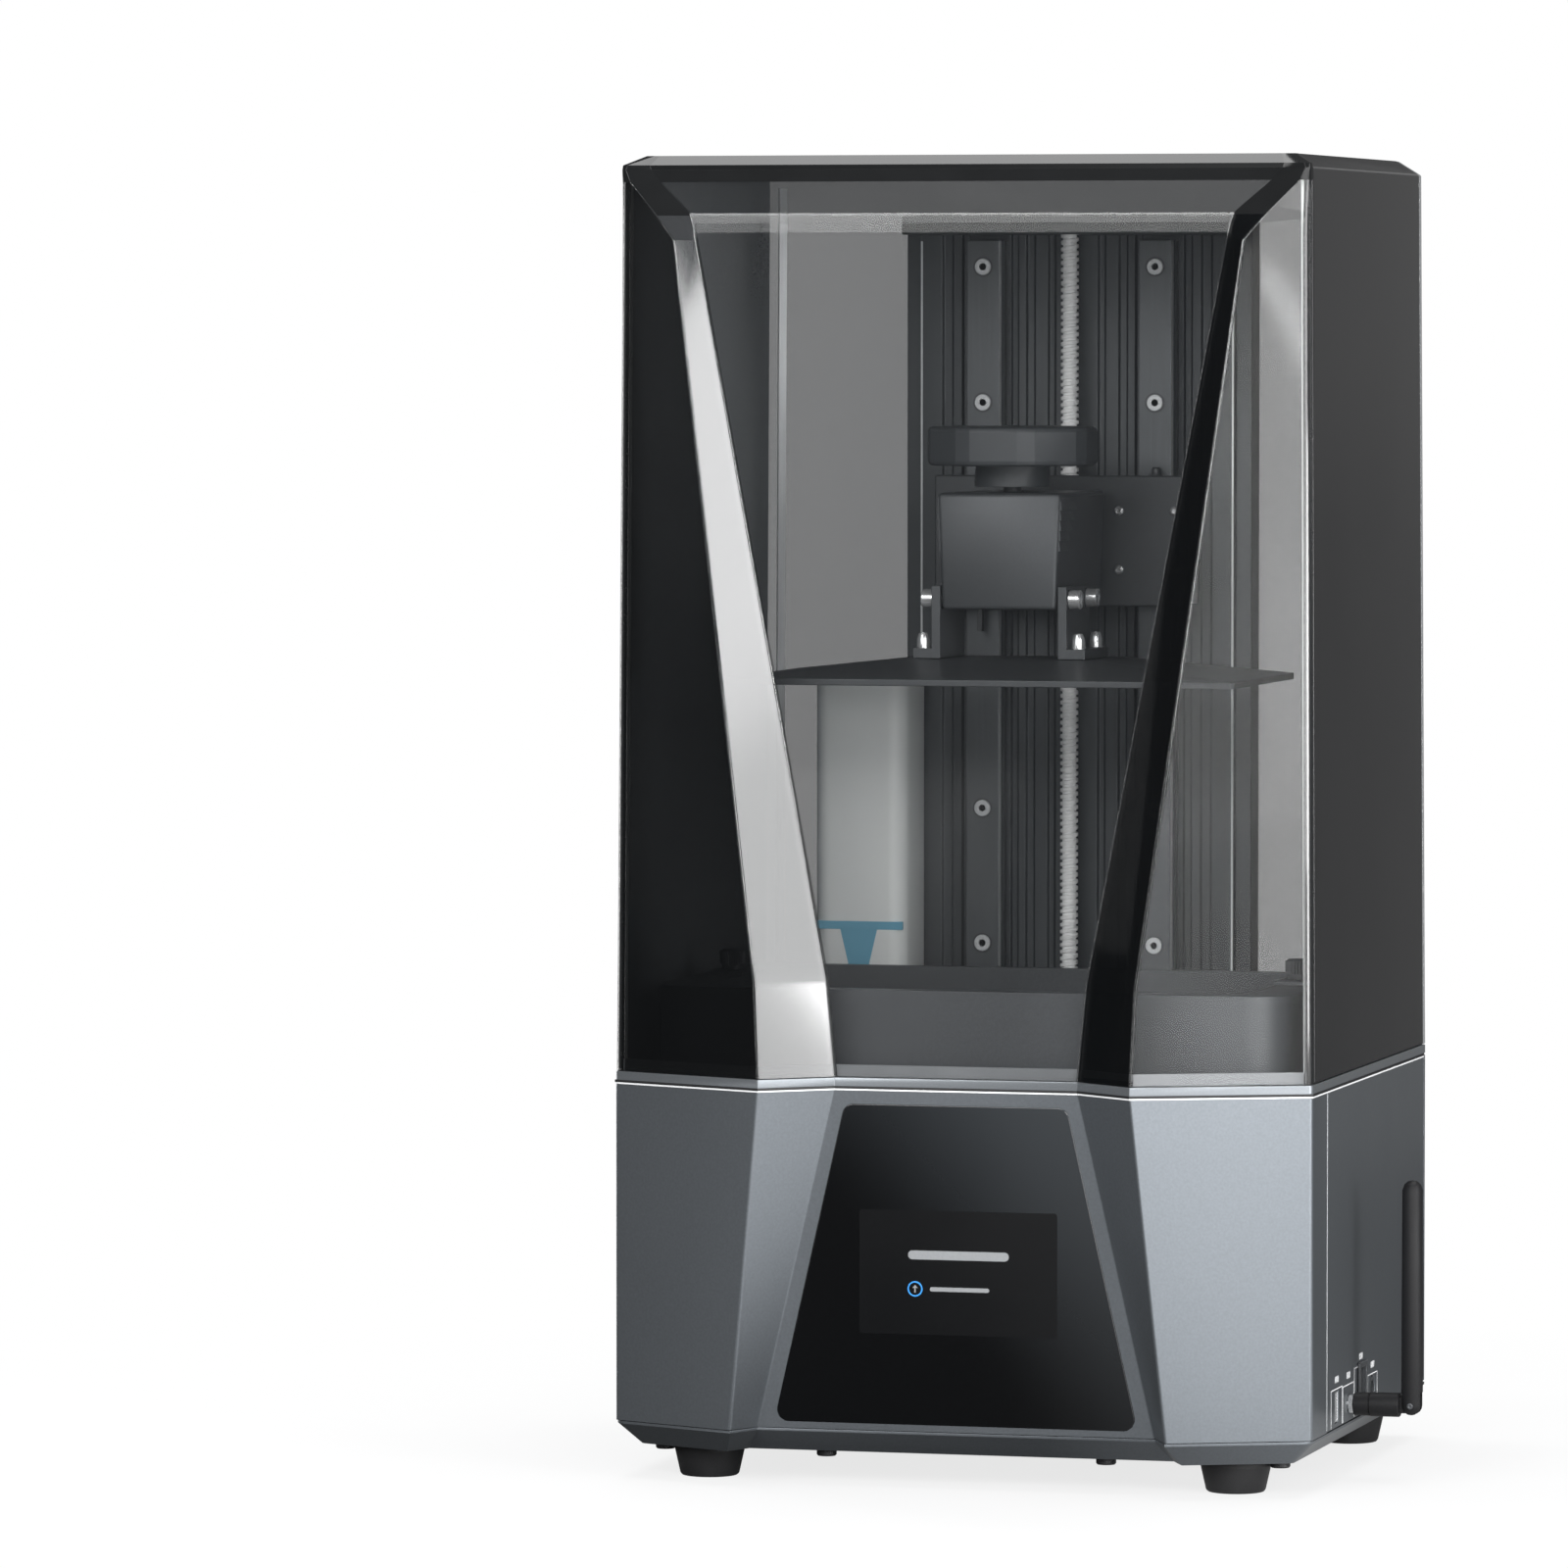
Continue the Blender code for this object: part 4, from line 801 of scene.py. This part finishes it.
def dress_antenna():
    """The barrel has a turning joint line near the wall, and the whip a pivot mark."""
    low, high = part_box("antenna_barrel")
    whip_low, whip_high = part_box("antenna_whip")
    y, z = (low.y + high.y) / 2, (low.z + high.z) / 2
    radius, end = (high.z - low.z) / 2, whip_low.x - 0.0005
    line = low.x + BARREL_JOINT
    neck = radius - 0.0002
    profile = [(0, low.x), (radius - 0.0006, low.x), (neck, low.x + 0.0004), (neck, line)]
    profile += [(radius - 0.0008, line), (radius - 0.0008, line + 0.0005), (radius, line + 0.0005)]
    profile += [(radius, end - 0.0004), (radius - 0.0004, end), (0, end)]
    bm = bmesh.new()
    add_turned(bm, profile, spot(0, y, z) @ TURN_RIGHT, 32)
    tongue = rounded_frame((high.x - end) / 2 + 0.001, 0.0034, 0.003, ((high.x + end) / 2 - 0.001, z))
    add_prism(bm, tongue, y - 0.0019, y + 0.0019, FACE_Y)
    barrel = new_object("antenna_barrel_turned", bm, "antenna_black", "antenna_hub")
    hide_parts("antenna_barrel")
    refined("antenna_whip", "antenna_black", 0.0002)
    pin = [(0, 0), (0.0013, 0), (0.0013, 0.0003), (0.0008, 0.0005), (0, 0.0001)]
    place = spot((whip_low.x + whip_high.x) / 2, whip_low.y + 0.0002, z) @ TURN_FRONT
    turned_pieces("antenna_pivot", pin, [place], "dark_moulding", "antenna", 16)


# ---- tower

THREAD_PITCH = 0.003
RAIL_LIT_DEPTH = 0.006
RAIL_SCREW_START = 0.0298
RAIL_SCREW_PITCH = 0.06018
RAIL_SCREW_COUNT = 6
RAIL_SCREW = [
    (0, 0), (0.0037, 0), (0.0037, 0.0007), (0.0034, 0.001), (0.0016, 0.001), (0.0014, 0.0002), (0, 0.0002),
]

# Half of the tower's front section: distance from the middle, and how deep the face is cut back
TOWER_SECTION = [
    (0.0095, 0), (0.0103, 0.0012), (0.0126, 0.0012), (0.0132, 0),
    (0.019, 0), (0.0196, 0.0016), (0.0226, 0.0016), (0.0232, 0),
    (0.0266, 0), (0.0271, 0.002), (0.0296, 0.002), (0.03, 0),
    (0.0488, 0), (0.0492, 0.002), (0.052, 0.002), (0.0526, 0),
    (0.0566, 0), (0.0572, 0.0012), (0.061, 0.0012), (0.0618, 0),
    (0.0715, 0), (0.0719, 0.004), (0.0788, 0.004),
]
# Where the column's front steps back, and a pale strip paints the highlight along that edge
TRIM_X = 0.0711
TRIM_TOP_GAP = 0.012


def dress_tower():
    low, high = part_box("tower_column")
    face = low.y
    right = [(x, face + drop) for x, drop in TOWER_SECTION]
    right += [(high.x, high.y), (high.x - 0.004, high.y), (high.x - 0.004, face + 0.0062)]
    outline = [(-x, y) for x, y in reversed(right)] + right
    column = prism_pieces(
        "tower_column_fine", [outline], low.z, high.z, FLAT_Z, "tower_anodised", "base"
    )
    bevelled(column, 0.0004, 2)
    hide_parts("tower_column")
    edge = [(-0.0005, 0.0012), (-0.0004, -0.00025), (0.0004, -0.00025), (0.0005, 0.0012)]
    trims = [[(x + a, face + b) for a, b in edge] for x in (-TRIM_X, TRIM_X)]
    foot, top = low.z + 0.0005, high.z - TRIM_TOP_GAP
    prism_pieces("tower_painted_edge_highlights", trims, foot, top, FLAT_Z, "rail_side", "base")
    for side in ("left", "right"):
        bm = cad_bmesh(f"rail_{side}")
        # The rails' faces that look right, near the front, take the pale steel: a painted highlight on the
        # lit side.
        for one in bm.faces:
            ahead = one.calc_center_median().y < face - RAIL_LIT_DEPTH
            one.material_index = int(one.normal.x > 0.9 and ahead)
        refined(f"rail_{side}", ["rail_steel", "rail_side"], 0.0005, 2, 25, bm)
        dress_rail(side)
    refined("top_bearing", "tower_anodised", 0.0006)


def dress_rail(side):
    """Cap screws down the front of a rail, each in a dark ring that paints the shade inside its
    counterbore.
    """
    low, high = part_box(f"rail_{side}")
    middle = (low.x + high.x) / 2
    rings, places = bmesh.new(), []
    for i in range(RAIL_SCREW_COUNT):
        z = low.z + RAIL_SCREW_START + i * RAIL_SCREW_PITCH
        outer = circle(0.0045, 28, (middle, z))
        inner = circle(0.0037, 28, (middle, z))
        add_band(rings, outer, inner, low.y - 0.00015, low.y + 0.0002, FACE_Y)
        places.append(spot(middle, low.y + 0.0002, z) @ TURN_FRONT)
    new_object(f"rail_{side}_counterbore_shades", rings, "dark_moulding", "base")
    turned_pieces(f"rail_{side}_screws", RAIL_SCREW, places, "cap_screw", "base")


def dress_screw():
    """A single-start right-hand trapezoidal thread, swept as rings whose radius follows the pitch."""
    low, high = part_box("lead_screw")
    centre = (low + high) / 2
    radius = (high.x - low.x) / 2
    around, turns = 20, (high.z - low.z) / THREAD_PITCH
    profile = [(0.0, 1.0), (0.46, 1.0), (0.58, 0.76), (0.9, 0.76)]
    bm = bmesh.new()
    strips = []
    levels = int(turns) * len(profile)
    for i in range(around + 1):
        angle = math.tau * i / around
        strip = []
        for k in range(levels):
            share, depth = profile[k % len(profile)]
            z = low.z + THREAD_PITCH * (k // len(profile) + share + i / around)
            z = min(max(z, low.z), high.z)
            size = radius * depth
            strip.append(bm.verts.new((size * math.cos(angle), centre.y + size * math.sin(angle), z)))
        strips.append(strip)
    for left, right in zip(strips, strips[1:]):
        for k in range(levels - 1):
            bm.faces.new((left[k], right[k], right[k + 1], left[k + 1]))
    turn = len(profile)
    for k in range(turn, levels):
        first, last = strips[0][k], strips[-1][k - turn]
        first.co = last.co
    bmesh.ops.remove_doubles(bm, verts=bm.verts, dist=0.000001)
    screw = new_object("lead_screw_thread", bm, "thread_steel", "screw", 25)
    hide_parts("lead_screw")
    core = circle(radius * 0.72, 20, (0, centre.y))
    prism_pieces("lead_screw_core", [core], low.z, high.z, FLAT_Z, "satin_steel", "screw")


CARRIAGE_SCREWS_X = (0.0268, 0.0518)
CARRIAGE_SCREWS_Z = (0.0162, 0.0422)
DOME_SCREW = [(0, 0), (0.0023, 0), (0.0023, 0.0004), (0.0019, 0.0011), (0.0011, 0.0015)]
DOME_SCREW += [(0.0009, 0.0008), (0, 0.0008)]
NIPPLE_X = 0.0408
NIPPLE = [
    (0, 0), (0.003, 0), (0.003, 0.0012), (0.0021, 0.0016), (0.0021, 0.004), (0.0015, 0.0047), (0, 0.0047),
]


def dress_carriage():
    refined("carriage_plate", "anodised", 0.0)
    for node in ("slide_block_left", "slide_block_right"):
        refined(node, "satin_steel")
    refined("carriage_arm", "anodised", 0.0)
    refined("limit_flag", "dark_moulding", 0.0002)
    refined("lead_nut", "screw_brass", 0.0006)
    repaint("motor_coupler", "plain_aluminium")
    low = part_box("carriage_plate")[0]
    places = [
        spot(side * x, low.y, low.z + rise) @ TURN_FRONT
        for x in CARRIAGE_SCREWS_X for side in (-1, 1) for rise in CARRIAGE_SCREWS_Z
    ]
    turned_pieces("carriage_screws", DOME_SCREW, places, "bright_steel", "carriage", 20)
    low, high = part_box("slide_block_right")
    place = spot(NIPPLE_X, (low.y + high.y) / 2 - 0.006, high.z)
    turned_pieces("grease_nipple", NIPPLE, [place], "dark_moulding", "carriage", 16)


# ---- head and plate

LEVEL_SCREW_X = 0.0344
LEVEL_SCREW = [
    (0, 0), (0.0029, 0), (0.0029, 0.004), (0.0019, 0.0065), (0.0012, 0.0065), (0.0011, 0.0052), (0, 0.0052),
]

# Steps up the head's sides: how many, height of each, how proud, run of the top one and the loss
# from one to the next
RIB_COUNT = 5
RIB_PITCH = 0.0044
RIB_STEP = 0.0008
RIB_RUN = 0.033
RIB_RUN_LOSS = 0.0035
# How much narrower each side of the head is at its foot
HEAD_FLARE = 0.0021


def dress_head():
    refined("head_block", "anodised", 0.0006)
    add_head_ribs()
    for node in ("side_bolt_front", "side_bolt_rear"):
        dress_side_bolt(node)
    for node in ("bracket_left", "bracket_right"):
        refined(node, "anodised", 0.0003)
    refined("build_plate", "anodised")
    refined("clamp_knob", "knob_satin", 0.0004, 2, 20)
    for name, side in SIDES:
        low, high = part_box(f"bracket_{name}")
        ends = (low.y + 0.004, high.y - 0.0075)
        places = [spot(side * LEVEL_SCREW_X, y, low.z + 0.0044) for y in ends]
        name = f"level_screws_{name}"
        turned_pieces(name, LEVEL_SCREW, places, "bright_steel", "plate", 24, 25)


def add_head_ribs():
    """Shallow steps up the head's sides, each lapping the one under it, from the front edge back."""
    low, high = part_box("head_block")
    for name, side in SIDES:
        bm = bmesh.new()
        for i in range(RIB_COUNT):
            top = high.z - 0.003 - i * RIB_PITCH
            foot, shoulder = top - RIB_PITCH, top - 0.0003
            half = high.x - HEAD_FLARE * (high.z - top) / (high.z - low.z) - 0.0002
            start, end = low.y + 0.0012, low.y + RIB_RUN - RIB_RUN_LOSS * i
            sections = []
            for y, out in ((start, RIB_STEP), (end - 0.006, RIB_STEP), (end, 0)):
                section = [(half - 0.001, foot), (half - 0.001, shoulder), (half + out * 0.25, shoulder)]
                section += [(half + out, foot + 0.0003), (half, foot)]
                sections.append([(side * x, y, z) for x, z in section])
            add_loft(bm, sections)
        new_object(f"head_ribs_{name}", bm, "anodised", "platform", 15)


def dress_side_bolt(node):
    """A long pin with a socket cap at each end."""
    low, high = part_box(node)
    centre = (low + high) / 2
    radius = (high.z - low.z) / 2
    wall = high.x - 0.005
    half = [(0, high.x - 0.002), (0.0019, high.x - 0.002), (0.002, high.x - 0.0001)]
    half += [(radius - 0.0004, high.x), (radius, high.x - 0.0005), (radius, wall), (0.002, wall)]
    profile = [(r, -h) for r, h in half] + [(r, h) for r, h in reversed(half)]
    place = spot(0, centre.y, centre.z) @ TURN_RIGHT
    piece = turned_pieces(f"{node}_caps", profile, [place], "bright_steel", body_of(node), 28, 25)
    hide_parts(node)


# ---- vat and purifier


def dress_vat():
    refined("vat_body", "vat_moulding", 0.001, 3)
    repaint("vat_film", "release_film")
    repaint("film_frame", "plain_aluminium")
    for side in ("left", "right"):
        dress_thumb_screw(side)


KNURL_TEETH = 28
KNURL_RADII = (0.0052, 0.0057)
KNURL_HEIGHT = 0.0063


def dress_thumb_screw(side):
    """A knurled head on the plain shank."""
    node = f"thumb_screw_{side}"
    low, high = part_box(node)
    centre = (low + high) / 2
    head_low, head_high = high.z - KNURL_HEIGHT, high.z - 0.0008
    bm = bmesh.new()
    outline = []
    for i in range(KNURL_TEETH * 2):
        angle, radius = math.tau * i / (KNURL_TEETH * 2), KNURL_RADII[i % 2]
        outline.append((centre.x + radius * math.cos(angle), centre.y + radius * math.sin(angle)))
    add_prism(bm, outline, head_low, head_high, FLAT_Z)
    shank = [(0, low.z), (0.002, low.z), (0.002, head_low - 0.0024), (0.0048, head_low - 0.0024)]
    shank += [(0.0048, head_low), (0, head_low)]
    cap = [(0, head_high), (0.005, head_high), (0.0044, high.z), (0.0018, high.z)]
    cap += [(0.0014, high.z - 0.0012), (0, high.z - 0.0012)]
    place = spot(centre.x, centre.y, 0)
    add_turned(bm, shank, place, 20)
    add_turned(bm, cap, place)
    piece = new_object(f"{node}_knurled", bm, "dark_moulding", f"thumb_{side}", 20)
    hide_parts(node)


VENT_COUNT = 9
VENT_PITCH = 0.0032
VENT = [(0, 0), (0.0008, 0), (0.0008, 0.0003), (0, 0.0003)]


def dress_purifier():
    """A pale case with a blue band and a tapered badge under it, over a row of small vents."""
    refined("purifier_body", "light_moulding", 0.0012, 3)
    low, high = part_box("purifier_body")
    middle = (low.x + high.x) / 2
    front, back = low.y - 0.0001, low.y + 0.002
    band = rounded_frame(0.02, 0.0018, 0.0003, (middle, low.z + 0.0517), 2)
    badge = [(-0.0085, 0.0501), (-0.0042, 0.0322), (0.0042, 0.0322), (0.0085, 0.0501)]
    marks = [band, [(middle + x, low.z + z) for x, z in badge]]
    prism_pieces("purifier_label", marks, front, back, FACE_Y, "blue_band", "purifier")
    places = []
    for i in range(VENT_COUNT):
        x = middle + (i - (VENT_COUNT - 1) / 2) * VENT_PITCH
        places.append(spot(x, low.y + 0.0001, low.z + 0.025) @ TURN_FRONT)
    turned_pieces("purifier_vents", VENT, places, "motor_black", "purifier", 10)
    refined("purifier_base", "dark_moulding")
    repaint("purifier_filter", "carbon_filter")


# ---- cover

# The cover's front at each level: height, half width lost, the wing's edge, the panel's edge,
# the panel's depth and the corner's rounding
COVER_FOOT = Vector((0.1753, 0.0, 0.0809, 0.0531, -0.114, 0.005))
COVER_SILL = Vector((0.2165, 0.0003, 0.0828, 0.057, -0.1134, 0.005))
COVER_NECK = Vector((0.531, 0.0023, 0.124, 0.1159, -0.10869, 0.0045))
COVER_FOLD = [
    Vector((0.533, 0.0023, 0.1257, 0.1163, -0.10866, 0.0045)),
    Vector((0.5365, 0.0023, 0.1285, 0.117, -0.1085, 0.0044)),
    Vector((0.54, 0.0023, 0.1315, 0.1178, -0.108, 0.0042)),
    Vector((0.543, 0.0024, 0.1341, 0.1192, -0.10725, 0.004)),
]
COVER_NOSE = Vector((0.5445, 0.0024, 0.1355, 0.1208, -0.10675, 0.0038))
COVER_CHEEK = Vector((0.556, 0.0025, 0.1462, 0.1335, -0.1018, 0.0026))
COVER_BROW = Vector((0.5612, 0.0025, 0.1485, 0.1378, -0.0998, 0.0012))
ROOF_INSET = (0.0083, 0.0091)
ROOF_ROUND = 0.0004
SIDE_RETURN = 0.0042
LIP_HEIGHT = 0.005
LIP_DEPTH = 0.0021
PIN_SHARES = (0.3, 0.62)
PIN = [(0, 0), (0.0012, 0), (0.0012, 0.0046), (0.0006, 0.0056), (0, 0.0056)]
FOLD_STEPS = 8


def bent(points, steps):
    """Rows that round the bends of a run of four levels, and keep its ends."""
    middle = (points[1] + points[2]) / 2
    rows = []
    for first, bend, last in ((points[0], points[1], middle), (middle, points[2], points[3])):
        for i in range(steps // 2):
            t = i * 2 / steps
            rows.append(first * (1 - t) ** 2 + bend * 2 * t * (1 - t) + last * t * t)
    return rows + [points[3]]


COVER_ROWS = [COVER_FOOT, COVER_SILL, COVER_NECK, *bent(COVER_FOLD, FOLD_STEPS)]
COVER_ROWS += [COVER_NOSE, COVER_CHEEK, COVER_BROW]

# The window's panes, which paint each facet's light and shade, and the pane of each side from left to right
# with the rounded corners' last
PANES = ["smoke_front", "smoke_lit_facet", "smoke_shaded_left", "smoke_edge", "smoke_wing", "smoke_band"]
PANES += ["gloss_edge", "smoke_shaded_facet", "smoke_fold_highlight"]
BELOW_FOLD = [2, 2, 1, 0, 7, 4, 4, 3]
ON_FOLD = [2, 2, 1, 8, 7, 4, 4, 3]
ABOVE_FOLD = [2, 2, 6, 5, 6, 4, 4, 3]
ON_ROOF = [6] * 8


def window_levels(high, corner_y):
    """The window's plans from foot to roof, where the facets run out into a straight edge."""
    levels = []
    for z, lost, wing_edge, panel_edge, panel_y, corner in COVER_ROWS:
        y = corner_y + lost
        points = front_points(high.x - lost, y, wing_edge, panel_edge, panel_y, y + SIDE_RETURN)
        edge = min(EDGE_ROUND, corner * 0.4)
        levels.append((z, points, [corner, edge, edge, edge, edge, corner]))
    top_z, lost, wing_edge, panel_edge, panel_y, _ = COVER_BROW
    y = corner_y + lost
    wing = front_points(high.x - lost, y, wing_edge, panel_edge, panel_y, y + SIDE_RETURN)
    for z, share, x_share in ((top_z + 0.002, 0.16, 0.3), (high.z, 1.0, 1.0)):
        half = high.x - lost - ROOF_INSET[0] * x_share
        roof_y = y + ROOF_INSET[1] * share
        top = [(half - 0.006, roof_y - 0.0001), (half - 0.004, roof_y), (half - 0.0002, roof_y + 0.0002)]
        top += [(half, roof_y + SIDE_RETURN)]
        top = [(-a, b) for a, b in reversed(top)] + top
        points = [tuple(Vector(a).lerp(Vector(b), share)) for a, b in zip(wing, top)]
        levels.append((z, points, [ROOF_ROUND] * 6))
    return levels


def dress_cover():
    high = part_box("cover_front_window")[1]
    corner_y = front_depths()[0]
    levels = window_levels(high, corner_y)
    fold = [BELOW_FOLD] * 7 + [ON_FOLD] * (FOLD_STEPS - 5) + [ABOVE_FOLD] * 3 + [ON_ROOF] * 3
    window = new_object("cover_front_window_fine", faceted_sheet(levels, SHELL_WALL, fold),
                        PANES, "cover", 22)
    bevelled(window, 0.0011, 3, 14)
    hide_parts("cover_front_window")
    refined("cover_rear_window", "smoke_rear")
    dress_rear_edges()
    dress_shell()
    dress_corner_lines(high.x, corner_y)
    dress_lip(levels[0][1])


def dress_rear_edges():
    """A pale strip up each side edge of the rear pane paints the highlight of the cover's back corners."""
    low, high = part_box("cover_rear_window")
    sections = []
    for z, lost in ((low.z + 0.002, 0.0), (low.z + 0.381, 0.0025)):
        x, y = high.x - lost - 0.007, high.y - SHELL_WALL - lost - 0.0003
        section = [(x - 0.0038, y), (x, y), (x, y - 0.0014), (x - 0.0008, y - 0.0018)]
        sections.append([(a, b, z) for a, b in section])
    mirrored_piece("cover_rear_corner_highlights", sections, "rail_side", "cover")


def dress_corner_lines(half, corner_y):
    """The window's bonded side edges catch the light as a thin pale line up each front corner."""
    sections = []
    for z, lost, *_ in (COVER_FOOT, COVER_CHEEK):
        x, y = half - lost - 0.0034, corner_y + lost + 0.0022
        section = [(x - 0.0012, y), (x, y + 0.0005), (x, y + 0.0011), (x - 0.0012, y + 0.0006)]
        sections.append([(a, b, z + 0.0012) for a, b in section])
    mirrored_piece("cover_corner_lines", sections, "light_moulding", "cover")


def dress_shell():
    """Gloss black outside; the faces that look inwards get a light grey, painted light on the inside walls.
    """
    low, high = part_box("cover_shell")
    middle = (low + high) / 2
    bm = cad_bmesh("cover_shell")
    for face in bm.faces:
        away = face.calc_center_median() - middle
        inwards = abs(away.x) < (high.x - low.x) / 2 - 0.004 or away.x * face.normal.x < 0
        face.material_index = 1 if inwards and face.normal.z < 0.5 and abs(face.normal.y) < 0.5 else 0
    refined("cover_shell", ["gloss_black", "inner_painted_light"], 0.0008, 3, 15, bm)


def dress_lip(points):
    """A ledge inside the window's foot, with small bright locating pins on the two facets."""
    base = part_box("cover_front_window")[0].z + 0.0002
    start = SHELL_WALL + 0.0001
    outer, inner = [offset_line(points, depth)[1:-1] for depth in (start, start + LIP_DEPTH)]
    strip_piece("cover_lip", outer, inner, base, base + LIP_HEIGHT, "smoke_lip", "cover")
    places = []
    for side in (-1, 1):
        for share in PIN_SHARES:
            x = PANEL_EDGES[1] + (WING_EDGES[1] - PANEL_EDGES[1]) * share
            y = points[4][1] + (points[5][1] - points[4][1]) * share + 0.0064
            places.append(spot(side * x, y, base))
    turned_pieces("cover_pins", PIN, places, "bright_steel", "cover", 16)


# ---- floor


def floor_finish():
    """Pale and matt with a faint contact shadow, and white further out.

    To every other ray it glows instead, dim, and bright over a patch to the right and the front: a painted
    pool of light that the printer picks up."""
    made = finish("pale_floor", (0.8, 0.805, 0.81), 0.6, 0.0, 0.01, 6, 0.02, 0.001)
    tree = made.node_tree
    link = tree.links.new
    shader, out = tree.nodes["Principled BSDF"], tree.nodes["Material Output"]

    def mixed(share, first, second):
        mix = tree.nodes.new("ShaderNodeMixShader")
        link(share, mix.inputs["Fac"])
        link(first, mix.inputs[1])
        link(second, mix.inputs[2])
        return mix.outputs["Shader"]

    def glow(strength):
        node = tree.nodes.new("ShaderNodeEmission")
        put(node, Color=(1, 1, 1, 1), Strength=strength)
        return node.outputs["Emission"]

    path = tree.nodes.new("ShaderNodeLightPath")
    coords = tree.nodes.new("ShaderNodeTexCoord")
    distance = tree.nodes.new("ShaderNodeVectorMath")
    distance.operation = "LENGTH"
    link(coords.outputs["Object"], distance.inputs[0])
    fade = map_range(tree, distance.outputs["Value"], 0.2, 0.62, 0.78, 1.0)
    seen = mixed(fade, shader.outputs["BSDF"], glow(1.0))
    lit = tree.nodes.new("ShaderNodeMath")
    lit.operation = "MULTIPLY"
    side = dot_with(tree, coords, towards(FLOOR_LIT_SIDE, 0))
    depth = dot_with(tree, coords, (0, 1, 0))
    link(map_range(tree, side, 0.06, 0.42), lit.inputs[0])
    link(map_range(tree, depth, 0.3, 0.05), lit.inputs[1])
    other = mixed(lit.outputs["Value"], glow(FLOOR_DIM), glow(FLOOR_BRIGHT))
    link(mixed(path.outputs["Is Camera Ray"], other, seen), out.inputs["Surface"])
    return made


def make_floor():
    bm = bmesh.new()
    bmesh.ops.create_grid(bm, x_segments=1, y_segments=1, size=40)
    mesh = bpy.data.meshes.new("floor")
    bm.to_mesh(mesh)
    bm.free()
    mesh.materials.append(floor_finish())
    floor = linked("floor", mesh)
    floor.location.z = cad_box[0][2]


# ---- build

bpy.context.scene.view_settings.view_transform = "Standard"
looks = make_finishes()
make_camera()
make_world()
for light in LIGHTS:
    make_light(*light)
make_floor()
dress_base()
dress_inside_base()
dress_ports()
dress_tower()
dress_screw()
dress_carriage()
dress_head()
dress_vat()
dress_purifier()
dress_cover()
